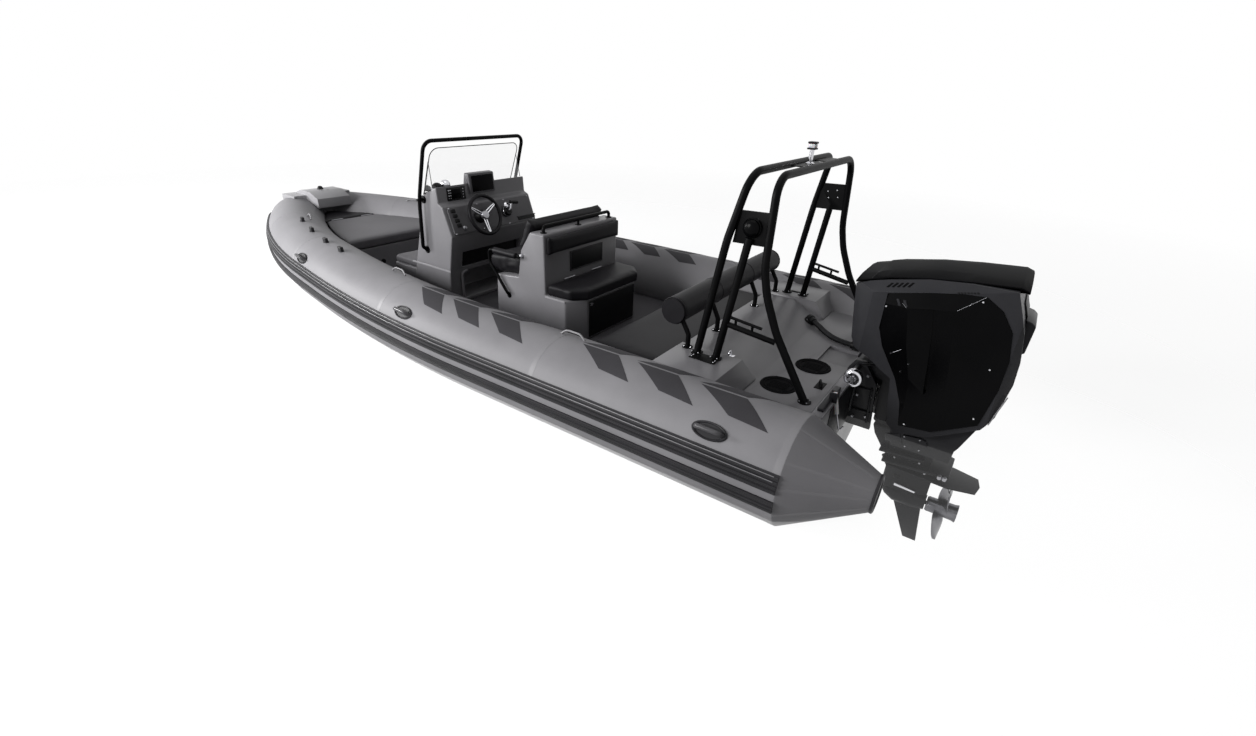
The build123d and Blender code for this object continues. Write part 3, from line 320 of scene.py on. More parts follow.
def turned(profile, sides=40):
    """Turn (radius, height) pairs round local z; a zero radius closes an end."""
    points, rings = [], []
    for radius, height in profile:
        if radius < 1e-6:
            rings.append([len(points)] * sides)
            points.append((0, 0, height))
        else:
            rings.append(list(range(len(points), len(points) + sides)))
            points += [(radius * math.cos(FULL_TURN * k / sides), radius * math.sin(FULL_TURN * k / sides),
                        height) for k in range(sides)]
    faces = []
    for low, high in zip(rings, rings[1:]):
        for k in range(sides):
            face = list(dict.fromkeys((low[k], low[(k + 1) % sides], high[(k + 1) % sides], high[k])))
            if len(face) > 2:
                faces.append(face)
    return mesh_of("turned", points, faces)


def spun(profile, sides, at, way=(0, 0, 1)):
    """A turned form stood on a point, facing a way."""
    return moved(turned(profile, sides), at, way)


def flange(outer, inner):
    """The profile of a thin round foot plate with a sloped edge."""
    return [(0, 0), (outer, 0), (outer, 0.003), (inner, 0.006), (0, 0.006)]


def rounded(corners, bends, step=0.02):
    """Points along straight runs joined by tangent arcs."""
    corners = [Vector(at) for at in corners]
    line = [corners[0]]
    for before, at, after, bend in zip(corners, corners[1:], corners[2:], bends):
        to_before, to_after = (before - at).normalized(), (after - at).normalized()
        half = to_before.angle(to_after) / 2
        middle = at + (to_before + to_after).normalized() * bend / math.sin(half)
        first = at + to_before * bend / math.tan(half) - middle
        last = at + to_after * bend / math.tan(half) - middle
        sweep = first.angle(last)
        count = max(3, int(sweep * bend / step))
        line += [middle + (first * math.sin((1 - k / count) * sweep)
                           + last * math.sin(k / count * sweep)) / math.sin(sweep)
                 for k in range(count + 1)]
    return line + [corners[-1]]


def piped(line, radius, sides=20, closed=False, cap=0.0):
    """A round bar along a line of points; radius may be a list, one for each point."""
    line = [Vector(at) for at in line]
    radii = radius if isinstance(radius, list) else [radius] * len(line)
    if cap and not closed:
        start, end = (line[0] - line[1]).normalized(), (line[-1] - line[-2]).normalized()
        line = [line[0] + start * cap] + line + [line[-1] + end * cap]
        radii = [radii[0] * 0.6] + radii + [radii[-1] * 0.6]
    count, points = len(line), []
    ahead = [(line[(k + 1) % count if closed else min(k + 1, count - 1)]
              - line[k - 1 if closed or k else 0]).normalized() for k in range(count)]
    side = facing(ahead[0]).col[0].copy()
    for at, way, reach in zip(line, ahead, radii):
        side = (side - way * side.dot(way)).normalized()
        over = way.cross(side)
        points += [at + (side * math.cos(FULL_TURN * k / sides)
                         + over * math.sin(FULL_TURN * k / sides)) * reach for k in range(sides)]
    return mesh_of("bar", points, stacked(count, sides, closed))


def both(mesh):
    """A port side mesh with its mirrored fellow."""
    return joined(mesh.name, mesh, flipped(mesh))


def side_spots(y, spots, facing_out=1):
    """Spots from (x, z) pairs on both sides of the keel plane, with their normals."""
    return [((x, side * y, z), (0, side * facing_out, 0)) for side in (1, -1) for x, z in spots]


def dots(name, spots, finish, body="boat", radius=0.005, height=0.003, sides=10):
    """Round heads on (point, normal) spots, by a geometry nodes tree, made a plain mesh."""
    mesh = bpy.data.meshes.new(name)
    mesh.from_pydata([tuple(at) for at, _ in spots], [], [])
    normals = mesh.attributes.new("facing", "FLOAT_VECTOR", "POINT")
    for k, (_, way) in enumerate(spots):
        normals.data[k].vector = Vector(way).normalized()
    holder = bpy.data.objects.new(name, mesh)
    scene.collection.objects.link(holder)
    tree = bpy.data.node_groups.new(name, "GeometryNodeTree")
    tree.interface.new_socket("Geometry", in_out="INPUT", socket_type="NodeSocketGeometry")
    for label, value in (("Head radius", radius), ("Head height", height)):
        tree.interface.new_socket(label, in_out="INPUT", socket_type="NodeSocketFloat").default_value = value
    tree.interface.new_socket("Geometry", in_out="OUTPUT", socket_type="NodeSocketGeometry")
    given = add_node(tree, "NodeGroupInput")
    base = add_node(tree, "GeometryNodeMeshCone", {"Vertices": sides},
                    Radius_Bottom=given.outputs["Head radius"], Depth=given.outputs["Head height"])
    top = add_node(tree, "ShaderNodeMath", {"operation": "MULTIPLY", 1: 0.7}, _0=given.outputs["Head radius"])
    tree.links.new(top.outputs[0], base.inputs["Radius Top"])
    way = add_node(tree, "GeometryNodeInputNamedAttribute", {"data_type": "FLOAT_VECTOR", "Name": "facing"})
    turn = add_node(tree, "FunctionNodeAlignRotationToVector", {"axis": "Z"}, Vector=way.outputs["Attribute"])
    heads = add_node(tree, "GeometryNodeInstanceOnPoints", Points=given.outputs["Geometry"],
                     Instance=base.outputs["Mesh"], Rotation=turn.outputs["Rotation"])
    real = add_node(tree, "GeometryNodeRealizeInstances", Geometry=heads.outputs["Instances"])
    skin = add_node(tree, "GeometryNodeSetMaterial", {"Material": finish}, Geometry=real.outputs["Geometry"])
    add_node(tree, "NodeGroupOutput", Geometry=skin.outputs["Geometry"])
    step = holder.modifiers.new("heads", "NODES")
    step.node_group = tree
    baked = bake(holder)
    bpy.data.objects.remove(holder)
    return place(name, baked, finish, body)

# ------------------------------------------------------------------ the engine's rigging hose

hose_route = [(0.437, -0.423, 0.306), (0.397, -0.388, 0.304), (0.35, -0.338, 0.299), (0.3, -0.29, 0.2975),
              (0.255, -0.255, 0.297), (0.212, -0.234, 0.2975), (0.17, -0.2235, 0.297), (0.13, -0.219, 0.2975)]
hose_curve = bpy.data.curves.new("hose_line", "CURVE")
hose_curve.dimensions, hose_curve.resolution_u = "3D", 44
hose_spline = hose_curve.splines.new("NURBS")
hose_spline.points.add(len(hose_route) - 1)
for spot, at in zip(hose_spline.points, hose_route):
    spot.co = (*at, 1)
hose_spline.order_u, hose_spline.use_endpoint_u = 3, True
hose_holder = bpy.data.objects.new("hose_line", hose_curve)
scene.collection.objects.link(hose_holder)
hose_mesh = bpy.data.meshes.new_from_object(hose_holder.evaluated_get(bpy.context.evaluated_depsgraph_get()))
hose_path = [v.co.copy() for v in hose_mesh.vertices]
bpy.data.objects.remove(hose_holder)
run, ridges = 0.0, []
for before, at in zip([hose_path[0]] + hose_path, hose_path):
    run += (at - before).length
    ridges.append(0.0165 + 0.001 * math.cos(run / 0.0085 * 6.2832))
hose = place("rigging_hose_tube", piped(hose_path, ridges, 18), hose_rubber, over=["rigging_hose"],
             slot="hose", limit=60)
hose_way, hose_far = (hose_path[0] - hose_path[1]).normalized(), (hose_path[-1] - hose_path[-2]).normalized()
ramp_ring = turned([(0.0172, -0.004), (0.022, -0.003), (0.024, 0.004), (0.024, 0.03), (0.03, 0.034),
                    (0.03, 0.06), (0, 0.06)], 32)
deck_boss = turned([(0, 0), (0.034, 0), (0.034, 0.004), (0.03, 0.008), (0.03, 0.04), (0.026, 0.045),
                    (0, 0.046)], 32)
flange_at, flange_out = Vector((0.476, -0.455, 0.292)), Vector((-0.418, 0, 0.9085))
end_ring = [(0.0172, -0.004), (0.022, -0.003), (0.024, 0.003), (0.024, 0.022), (0, 0.022)]
ramp_flange = [(0, -0.004), (0.038, -0.004), (0.038, 0.008), (0.034, 0.011), (0.026, 0.011), (0, 0.011)]
glands = joined("glands", moved(ramp_ring, hose_path[0], hose_way),
                spun(end_ring, 32, hose_path[-1], hose_far),
                moved(deck_boss, (0.0942, -0.2165, 0.2765)), spun(ramp_flange, 36, flange_at, flange_out))
gland_piece = place("hose_gland_rings", glands, black_plastic, over=["hose_glands"], slot="hose")
bolt_x, bolt_y = Vector((0.9085, 0, 0.418)), Vector((0, 1, 0))
bolt_spots = [flange_at + flange_out * 0.012 + bolt_x * 0.032 * math.cos(k * SIXTH_TURN)
              + bolt_y * 0.032 * math.sin(k * SIXTH_TURN) for k in range(6)]
dots("hose_flange_bolts", [(at, flange_out) for at in bolt_spots], worn_steel, radius=0.0045, height=0.004)

# ------------------------------------------------------------------ air tubes

tube_r = 0.268
tube_start = (0, 1.029, 0.14)     # the port tube's centre abreast the transom
corners = [tube_start, (2.895, 1.029, 0.14), (4.87, 0.729, 0.221), (5.843, 0.193, 0.251),
           (5.843, -0.193, 0.251)]
centre_line = rounded(corners, [11.85, 4.39, 0.33], 0.03)
reach = [0.0]
for before, after in zip(centre_line, centre_line[1:]):
    reach.append(reach[-1] + (after - before).length)


def centre_at(station):
    """The tube's centre and direction, a distance along it from the transom."""
    end = len(reach) - 1
    k = max(1, min(end, next((n for n, far in enumerate(reach) if far >= station), end)))
    before, after = centre_line[k - 1], centre_line[k]
    share = (station - reach[k - 1]) / (reach[k] - reach[k - 1])
    return before.lerp(after, share), (after - before).normalized()


def skin_at(station, angle, lift=0.0):
    """A point on the port tube, its outward way and the way forward; 0 degrees is level outboard."""
    at, ahead = centre_at(station)
    outboard = -ahead.cross(Vector((0, 0, 1))).normalized()
    way = outboard * math.cos(math.radians(angle)) + Vector((0, 0, 1)) * math.sin(math.radians(angle))
    return at + way * (tube_r + lift), way, ahead


bow_station = next(far for far, at in zip(reach, centre_line) if at.x >= 4.3)
end_station = next(far for far, at in zip(reach, centre_line) if at.y <= 0.0) - 1e-4


def chamber(first, last, sides=72):
    """The tube's skin between two stations, closed at both ends."""
    count = max(4, int((last - first) / 0.045))
    points = [skin_at(first + (last - first) * ring / count, 360 * k / sides)[0] for ring in range(count + 1)
              for k in range(sides)]
    return mesh_of("chamber", points, stacked(count + 1, sides))


side_chamber = chamber(0, bow_station)
place("air_tube_port", side_chamber, tube_skin, over=["tube_port"], slot="tube_fabric")
place("air_tube_starboard", flipped(side_chamber), tube_skin, over=["tube_starboard"], slot="tube_fabric")
place("air_tube_bow", both(chamber(bow_station, end_station)), tube_skin, over=["tube_bow"],
      slot="tube_fabric")

cone_tip, cone_tip_r = Vector((-0.338, 1.0, 0.158)), 0.086


def cone_at(share, angle, lift=0.0):
    """A point on the port stern cone, from its base at 0 to its tip at 1."""
    way = Vector((0, math.cos(math.radians(angle)), math.sin(math.radians(angle))))
    share = (share * share / 0.34 if share < 0.17 else share - 0.085) / 0.915
    middle = Vector(tube_start).lerp(cone_tip, share)
    return middle + way * (tube_r * (1 - share) + cone_tip_r * share + lift)


cone_shares = (0, 0.035, 0.07, 0.105, 0.14, 0.175, 0.3, 0.45, 0.6, 0.8, 0.99, 1)
cone_mesh = mesh_of("cone", [cone_at(share, 360 * k / 72) for share in cone_shares for k in range(72)],
                    stacked(len(cone_shares), 72))
place("stern_cone_skins", both(cone_mesh), tube_skin, over=["stern_cones"], slot="tube_fabric")
cap_profile = [(0, 0), (0.089, 0), (0.089, 0.008), (0.084, 0.012), (0.07, 0.0115), (0.066, 0.007), (0, 0.007)]
place("cone_end_caps", both(spun(cap_profile, 56, cone_tip, (-1, 0, 0))), strake_rubber, over=["cone_caps"],
      slot="strake")


def on_skin(corners, across=12, along=10, lift=0.0014, side_of=skin_at):
    """A thin pad on the tube between four (station, angle) corners, listed round it."""
    points, faces = [], []
    (s0, a0), (s1, a1), (s2, a2), (s3, a3) = corners
    for level in (lift, -0.002):
        for row in range(along + 1):
            v = row / along
            for col in range(across + 1):
                u = col / across
                station = (s0 * (1 - u) + s1 * u) * (1 - v) + (s3 * (1 - u) + s2 * u) * v
                angle = (a0 * (1 - u) + a1 * u) * (1 - v) + (a3 * (1 - u) + a2 * u) * v
                edge = min(u, 1 - u, v, 1 - v) < 1e-6
                points.append(side_of(station, angle, level * (0.55 if edge and level > 0 else 1))[0])
    width, layer = across + 1, (across + 1) * (along + 1)
    for row in range(along):
        for col in range(across):
            k = row * width + col
            faces += [[k, k + 1, k + 1 + width, k + width],
                      [k + layer, k + layer + width, k + layer + width + 1, k + layer + 1]]
    rim = list(range(width)) + [row * width + across for row in range(1, along + 1)]
    rim += [along * width + col for col in range(across - 1, -1, -1)]
    rim += [row * width for row in range(along - 1, 0, -1)]
    faces += [[rim[k], rim[(k + 1) % len(rim)], rim[(k + 1) % len(rim)] + layer, rim[k] + layer]
              for k in range(len(rim))]
    return mesh_of("pad", points, faces)


# walking pads: an outer and an inner pad meet along the tube's crown, both raked aft
pad_starts = [2.667, 2.33, 1.978, 1.255, 0.891, 0.522]
pads = []
for start in pad_starts:
    pads.append(on_skin([(start, 91.6), (start - 0.238, 92.4), (start - 0.408, 58.2), (start - 0.212, 61.5)]))
    pads.append(on_skin([(start + 0.014, 95), (start - 0.236, 95.6), (start - 0.375, 122),
                         (start - 0.215, 124)]))
place("walking_pads", both(joined("pads", *pads)), grip_skin, slot="strake")

# glued tapes over the joints of the tubes' chambers and along the stern cones
seam_tape = grained("seam_tape", "#747376", "#7b7a7d", 0.5, 3.5, 0.1)
tapes = [on_skin([(s + 0.016, a), (s - 0.016, a), (s - 0.016, a + 120), (s + 0.016, a + 120)], 2, 30, 0.0009)
         for s in (0.018, 1.42, 2.83, 4.24, bow_station + 0.85) for a in (-60, 60, 180)]
place("joint_tapes", both(joined("tapes", *tapes)), seam_tape, slot="tube_fabric")
cone_tapes = []
for angle in (38, 75, 112, 149, 12, -20):
    corners = [(0.02, angle - 1.2), (0.98, angle - 3.6), (0.98, angle + 3.6), (0.02, angle + 1.2)]
    cone_tapes.append(on_skin(corners, 12, 2, 0.0009, lambda *at: (cone_at(*at),)))
place("cone_tapes", both(joined("tapes", *cone_tapes)), seam_tape, slot="tube_fabric")

strake_rings = int(end_station / 0.06)
rib_shape = ((0.12, 0.62), (0.3, 1), (0.7, 1), (0.88, 0.62))      # shares of a rib's width and of its height


def strake(low, high, ridges, thick):
    """A ribbed band round the tube's side from the transom to the stem."""
    profile = [(low, 0.0005), (low + 0.2, thick * 0.5)]
    for k in range(ridges):
        start, after = [low + 0.8 + (high - low - 1.6) * end / ridges for end in (k, k + 1)]
        profile += [(start + (after - start) * share, thick * level) for share, level in rib_shape]
    profile += [(high - 0.2, thick * 0.5), (high, 0.0005)]
    points = [skin_at(end_station * ring / strake_rings, angle, lift)[0] for ring in range(strake_rings + 1)
              for angle, lift in profile]
    return mesh_of("strake", points, stacked(strake_rings + 1, len(profile)))


bands = joined("strakes", strake(6.5, 25.5, 4, 0.0155), strake(-15, -1.5, 3, 0.0155))
place("rubbing_strakes", both(bands), strake_rubber, over=["rub_strakes"], slot="strake", limit=20)

# lifting handles: an oval dish with a rounded grip across it
handles, dishes = [], []
for station, angle in ((0.357, 40), (2.575, 39), (4.085, 36)):
    at, way, ahead = skin_at(station, angle)
    dish = turned([(0, -0.004), (1.0, -0.004), (1.0, 0.005), (0.93, 0.0085), (0.84, 0.0075), (0.76, 0.003),
                   (0, 0.002)], 48)
    dish.transform(Matrix.Diagonal((0.042, 0.088, 1, 1)))
    grip = piped(rounded([(0, -0.066, 0.002), (0, -0.055, 0.034), (0, 0.055, 0.034), (0, 0.066, 0.002)],
                         [0.02, 0.02], 0.004), 0.0125, 16)
    dishes.append(moved(dish, at, way, ahead))
    handles.append(moved(grip, at, way, ahead))
place("handle_dishes", both(joined("dishes", *dishes)), strake_rubber, over=["grab_handles"], slot="strake")
place("handle_grips", both(joined("grips", *handles)), grip_rubber, slot="strake")

# two thin pale pipings along the upper band's top ribs: painted highlights where the ribs catch the light
highlight_pipings = [piped([skin_at(0.02 + (end_station - 0.02) * k / strake_rings, rib_angle, 0.0152)[0]
                  for k in range(strake_rings + 1)], 0.0019, 6)
           for rib_angle in (23.1, 18.4)]
place("strake_painted_highlights", both(joined("highlight_pipings", *highlight_pipings)), rib_highlight_rubber, slot="strake")

# eyes for the grab line: a pad, a rubber block and a bent steel eye
eyes, eye_pads = [], []
for station, angle in ((3.758, 84), (4.048, 84), (4.414, 88), (4.786, 91)):
    at, way, ahead = skin_at(station, angle)
    pad = turned([(0, -0.003), (1.0, -0.003), (1.0, 0.003), (0.9, 0.005), (0, 0.005)], 32)
    pad.transform(Matrix.Diagonal((0.02, 0.034, 1, 1)))
    eye_pads.append(moved(pad, at, way, ahead))
    loop = piped(rounded([(0, -0.018, 0.003), (0, -0.018, 0.028), (0, 0.018, 0.028), (0, 0.018, 0.003)],
                         [0.015, 0.015], 0.003), 0.0042, 12)
    eyes.append(moved(loop, at, way, ahead))
    eye_pads.append(moved(block((-0.013, -0.03, 0), (0.013, 0.03, 0.036), 0.006), at, way, ahead))
place("line_eye_pads", both(joined("eye_pads", *eye_pads)), strake_rubber)
place("line_eye_loops", both(joined("eye_loops", *eyes)), worn_steel, over=["line_eyes"], slot="steel",
      limit=50)

# webbing hand loops on the tubes' inner face
loops = []
for station, angle in ((1.36, 100), (3.05, 104), (4.95, 108)):
    at, way, ahead = skin_at(station, angle)
    strap = piped(rounded([(0, -0.085, 0.0), (0, -0.05, 0.028), (0, 0.05, 0.028), (0, 0.085, 0.0)],
                          [0.05, 0.05], 0.008), 0.006, 10)
    loops.append(moved(strap, at, way, ahead))
place("hand_loops", both(joined("loops", *loops)), seam_tape, slot="tube_fabric")

# ------------------------------------------------------------------ mouldings

for node, name, finish, ease in (
        ("hull_bottom", "hull_moulding", gelcoat, 0), ("cockpit_sole", "sole_panel", grip_gelcoat, 0),
        ("transom", "transom_moulding", gelcoat, 0.006), ("aft_deck", "aft_deck_moulding", gelcoat, 0.01),
        ("bow_locker", "bow_locker_moulding", gelcoat, 0.01),
        ("console_body", "console_moulding", gelcoat, 0.022),
        ("front_seat", "front_seat_moulding", gelcoat, 0.012), ("seat_base", "seat_moulding", gelcoat, 0.018),
        ("bench_base", "bench_moulding", gelcoat, 0.01), ("nose_cap", "nose_moulding", pale_gelcoat, 0.018)):
    place(name, copied(node, ease), finish, over=[node])

# ------------------------------------------------------------------ console

dash_up, dash_out = Vector((0.3531, 0, 0.9356)), Vector((-0.9356, 0, 0.3531))
dash_middle = Vector((3.036, 0, 0.697)) + dash_out * 0.012


def dash_at(y, rise, out=0.0):
    """A point on the dash panel: y, distance up it from its middle, distance out of it."""
    return dash_middle + dash_up * rise + dash_out * out + Vector((0, y, 0))


def dash_plate(y, rise, width, height, out, base=0.0, ease=0.003):
    """A plate lying on the dash, by its middle and size."""
    return moved(block((-width / 2, -height / 2, base), (width / 2, height / 2, out), ease), dash_at(y, rise),
                 dash_out, dash_up)


dash_grey = grained("satin_gelcoat", "#5d5c5f", "#656467", 0.38, 60, 0.15, 0.18)
place("dash_moulding", copied("dash_panel", 0.004), dash_grey, over=["dash_panel"], slot="dark_panel")

# instrument cluster on the hood's aft face: a bezel, its glass and two columns of buttons
hood_out = Vector((-0.998, 0, 0.066))
hood_middle = Vector((3.1245, 0.28, 0.882))
cluster = moved(block((-0.088, -0.048, 0), (0.088, 0.048, 0.008), 0.004), hood_middle, hood_out)
place("cluster_bezel", cluster, black_plastic, slot="dark_panel")
place("cluster_glass", moved(block((-0.05, -0.034, 0.007), (0.04, 0.034, 0.0095), 0.002), hood_middle,
                             hood_out), dark_glass)
buttons = [(hood_middle + hood_out * 0.009 + Vector((0, y, z)), hood_out) for y in (-0.062, 0.058, 0.074)
           for z in (-0.03, -0.01, 0.01, 0.03)]
dots("cluster_buttons", buttons, worn_steel, radius=0.0045, height=0.003)

# display pod: a hooded housing with a slanted screen
place("pod_housing", copied("display_pod", 0.007), dash_grey, over=["display_pod"], slot="dark_panel")
pod_out = Vector((-0.994, 0, 0.1074))
pod_plate = block((-0.108, -0.06, -0.001), (0.108, 0.06, 0.006), 0.002)
place("pod_screen", moved(pod_plate, (3.1035, 0.025, 0.94), pod_out), dark_glass)

# compass: a steel ring round a dark dome
compass_foot = Vector((3.195, 0.395, 0.912))
compass_way = (-0.08, 0, 1)
compass_profile = [(0, -0.004), (0.052, -0.004), (0.052, 0.01), (0.046, 0.016), (0.04, 0.018), (0, 0.018)]
place("compass_ring", spun(compass_profile, 40, compass_foot, compass_way), polished_steel, over=["compass"],
      limit=40)
bulge = [0.157 * k for k in range(10)]      # a quarter turn in ten steps
bulge_profile = [(0.041, 0.014)] + [(0.04 * math.cos(a), 0.018 + 0.036 * math.sin(a))
                                    for a in bulge] + [(0, 0.054)]
place("compass_dome", spun(bulge_profile, 40, compass_foot, compass_way), black_plastic)

# a steel horn beside it, and the bracket at the screen's corner
horn = [(0, 0), (0.03, 0), (0.03, 0.02), (0.037, 0.03), (0.035, 0.052), (0.024, 0.068), (0, 0.074)]
place("signal_horn", spun(horn, 36, (3.19, 0.322, 0.908), compass_way), polished_steel, limit=50)
place("screen_corner_bracket", prism([(3.205, 0.898), (3.27, 0.9), (3.262, 0.945), (3.232, 0.938)], "y",
                                     0.425, 0.452, 0.004), black_plastic)

# steering wheel: padded rim, three twin steel spokes, a domed hub cap
wheel_middle, wheel_out = dash_at(0.15, 0, 0.075), dash_out
wheel_plane, wheel_r, rim_step = facing(wheel_out, dash_up), 0.148, 0.0982      # 64 steps to a turn
rim_turns = [rim_step * k for k in range(64)]
rim = piped([wheel_middle + wheel_plane @ Vector((wheel_r * math.cos(a), wheel_r * math.sin(a), 0))
             for a in rim_turns],
            [0.014 + (0.0012 if k % 8 < 2 else 0) for k in range(64)], 16, closed=True)
place("wheel_rim", rim, black_vinyl, "helm_wheel", over=["steering_wheel"], slot="black_plastic")
spokes = []
for turn in (270, 30, 150):
    way = wheel_plane @ Vector((math.cos(math.radians(turn)), math.sin(math.radians(turn)), 0))
    across = wheel_out.cross(way)
    for offset in (-0.011, 0.011):
        spokes.append(piped([wheel_middle + way * 0.02 + across * offset - wheel_out * 0.016,
                             wheel_middle + way * 0.09 + across * offset * 0.8 - wheel_out * 0.01,
                             wheel_middle + way * 0.142 + across * offset * 0.4], 0.0055, 12))
place("wheel_spokes", joined("spokes", *spokes), polished_steel, "helm_wheel", limit=60)
place("wheel_hub", spun([(0.0105, -0.0275), (0.031, -0.0275), (0.034, -0.02), (0.034, 0.002), (0.028, 0.01),
                         (0, 0.014)], 40, wheel_middle, wheel_out), worn_steel, "helm_wheel", limit=40)
hub_profile = [(0, 0), (0.05, 0), (0.05, 0.006), (0.044, 0.012), (0.04, 0.04), (0.036, 0.0465),
               (0.0102, 0.0465), (0.0102, 0.07), (0, 0.07)]
place("steering_boss", spun(hub_profile, 40, dash_at(0.15, 0), dash_out), black_plastic,
      over=["steering_hub"], limit=40)

# throttle: a round boss, a steel side cover, a bent lever with a cross grip
boss = spun([(0, 0), (0.042, 0), (0.04, 0.034), (0.03, 0.046), (0, 0.048)], 36, dash_at(-0.13, 0), dash_out)
place("throttle_boss", boss, black_plastic, over=["throttle"], limit=40)
place("throttle_cover", spun([(0.04, 0.01), (0.0425, 0.012), (0.041, 0.026), (0.037, 0.03)], 36,
                             dash_at(-0.13, 0), dash_out), polished_steel, limit=60)
lever = rounded([dash_at(-0.13, 0, 0.03), dash_at(-0.13, 0.004, 0.062), dash_at(-0.15, 0.06, 0.078)], [0.018],
                0.004)
place("throttle_lever", piped(lever, [0.011 - 0.003 * k / len(lever) for k in range(len(lever))], 14),
      worn_steel, limit=50)
place("throttle_grip", piped([dash_at(-0.138, 0.062, 0.078), dash_at(-0.215, 0.05, 0.078)], 0.0135, 18,
                             cap=0.004), black_plastic)
place("throttle_knob", spun([(0, 0), (0.016, 0), (0.024, 0.008), (0.024, 0.018), (0.016, 0.027), (0, 0.03)],
                            28, dash_at(-0.118, 0.046, 0.03), dash_out), polished_steel)

# rocker switches, a keyed stop switch and a slot for papers
rockers = [dash_plate(0.385 - 0.006 * k, 0.075 - 0.037 * k, 0.04, 0.026, 0.01, ease=0.004) for k in range(4)]
place("rocker_switches", joined("rockers", *rockers), black_plastic, slot="black_plastic")
place("key_switch", spun([(0, 0), (0.014, 0), (0.014, 0.006), (0.009, 0.01), (0.009, 0.018), (0, 0.019)], 24,
                         dash_at(0.325, -0.06), dash_out), worn_steel)
place("paper_slot", dash_plate(-0.345, -0.075, 0.2, 0.026, 0.004, ease=0.003), black_plastic)
place("paper_slot_lip", dash_plate(-0.345, -0.06, 0.212, 0.007, 0.009, ease=0.002), dash_plastic)
dots("dash_screws", [(dash_at(y, rise, 0.001), dash_out) for y in (-0.415, -0.14, 0.14, 0.415)
                     for rise in (-0.095, 0.098)], worn_steel, radius=0.006)

# joint strips along the console's sides and a door in its front
strips = [prism([(3.052, 0.305), (3.53, 0.305), (3.526, 0.319), (3.052, 0.319)], "y", side * 0.459,
                side * 0.4635, 0.001) for side in (1, -1)]
place("console_joint_strips", joined("strips", *strips), pale_gelcoat, slot="gelcoat")
front_way = (Vector((3.58, 0, 0.025)) - Vector((3.293, 0, 0.87))).normalized()
door_out = Vector((-front_way.z, 0, front_way.x))
door_spot = Vector((3.293, 0, 0.87)) + front_way * 0.33
place("console_door", moved(block((-0.24, -0.2, 0), (0.24, 0.2, 0.01), 0.008), door_spot, door_out), gelcoat)
place("console_door_latch", spun([(0, 0.008), (0.026, 0.008), (0.026, 0.015), (0.018, 0.018), (0, 0.018)], 28,
                                 door_spot + Vector((0, 0.19, 0)), door_out), black_plastic)

# windscreen: a flat acrylic sheet with two wings, an edge trim and a foot strip
screen_foot, screen_top = Vector((3.292, 0, 0.874)), Vector((3.16, 0, 1.215))
screen_up = (screen_top - screen_foot).normalized()
screen_out = Vector((-screen_up.z, 0, screen_up.x))
rise = (screen_top - screen_foot).length
corner_turns = [0.1963 * k for k in range(9)]      # a quarter turn in eight steps
edge = [(-0.446, 0.0)] + [(-0.446 + 0.07 - 0.07 * math.cos(a), rise - 0.07 + 0.07 * math.sin(a))
                          for a in corner_turns]
edge += [(-y, z) for y, z in reversed(edge)]
sheet_edge = [screen_foot + screen_up * z + Vector((0, y, 0)) for y, z in edge]
sheet = mesh_of("sheet", sheet_edge + [at + screen_out * 0.005 for at in sheet_edge], walls(len(sheet_edge)))
wings = []
for side in (1, -1):
    wing = [Vector((3.29, side * 0.4462, 0.878)), Vector((3.197, side * 0.4462, 1.118)),
            Vector((3.17, side * 0.455, 0.935))]
    wings.append(mesh_of("wing", wing + [at + Vector((0, side * 0.004, 0)) for at in wing],
                         [[0, 1, 2], [3, 4, 5], [0, 1, 4, 3], [1, 2, 5, 4], [2, 0, 3, 5]]))
place("windscreen_sheet", joined("screen", sheet, *wings), acrylic, over=["windscreen"], slot="clear_screen")
place("screen_edge_trim", piped([at + screen_out * 0.0025 for at in sheet_edge], 0.0032, 8), black_plastic)
wing_edges = [piped([(3.29, side * 0.449, 0.88), (3.197, side * 0.449, 1.118), (3.17, side * 0.457, 0.937)],
                    0.0028, 8) for side in (1, -1)]
place("wing_edge_trim", joined("trims", *wing_edges), black_plastic)
place("screen_foot_strip", block((3.276, -0.45, 0.864), (3.3, 0.45, 0.886), 0.005), black_plastic)
screw_row = screen_foot + screen_up * 0.022 + screen_out * 0.006
dots("screen_screws", [(screw_row + Vector((0, -0.4 + 0.16 * k, 0)), screen_out) for k in range(6)],
     worn_steel, radius=0.007, height=0.006)

# hoop rail with its flanged feet and stand-offs
rail_half = [(3.313, 0.452, 0.44), (3.313, 0.498, 0.472), (3.289, 0.498, 0.838), (3.158, 0.498, 1.266)]
rail_bends = [0.025, 0.6, 0.07]
rail_line = rounded(rail_half + [(x, -y, z) for x, y, z in reversed(rail_half)],
                    rail_bends + rail_bends[::-1], 0.012)
rail_parts = [piped(rail_line, 0.014, 20)]
for side in (1, -1):
    rail_parts.append(piped([(3.289, side * 0.455, 0.838), (3.289, side * 0.498, 0.838)], 0.01, 14))
    for x, z in ((3.289, 0.838), (3.313, 0.446)):
        rail_parts.append(spun(flange(0.03, 0.022), 28, (x, side * 0.46, z), (0, side, 0)))
place("hoop_rail", joined("rail", *rail_parts), black_coat, over=["console_rail"], slot="arch_paint")
stub = [(0, 0), (0.01, 0), (0.01, 0.012), (0, 0.014)]
stub_ends = [spun(stub, 16, (3.289, side * 0.506, 0.838), (0, side, 0)) for side in (1, -1)]
place("grab_stub_ends", joined("stubs", *stub_ends), black_plastic)

# footwell: a rounded frame and a dark liner behind the shelf
frame_loop = rounded([(3.052, 0.3, 0.29), (3.052, 0.352, 0.29), (3.052, 0.352, 0.06)], [0.035], 0.006)
place("footwell_frame", piped(frame_loop, 0.012, 12), gelcoat)
place("shelf_liner", block((3.07, -0.276, 0.331), (3.076, 0.336, 0.445)), black_plastic)

# ------------------------------------------------------------------ upholstery

# where the helm's bolster starts, and the height over which it swells
bolster_x, bolster_z, bolster_run = 2.19, 0.68, 0.08


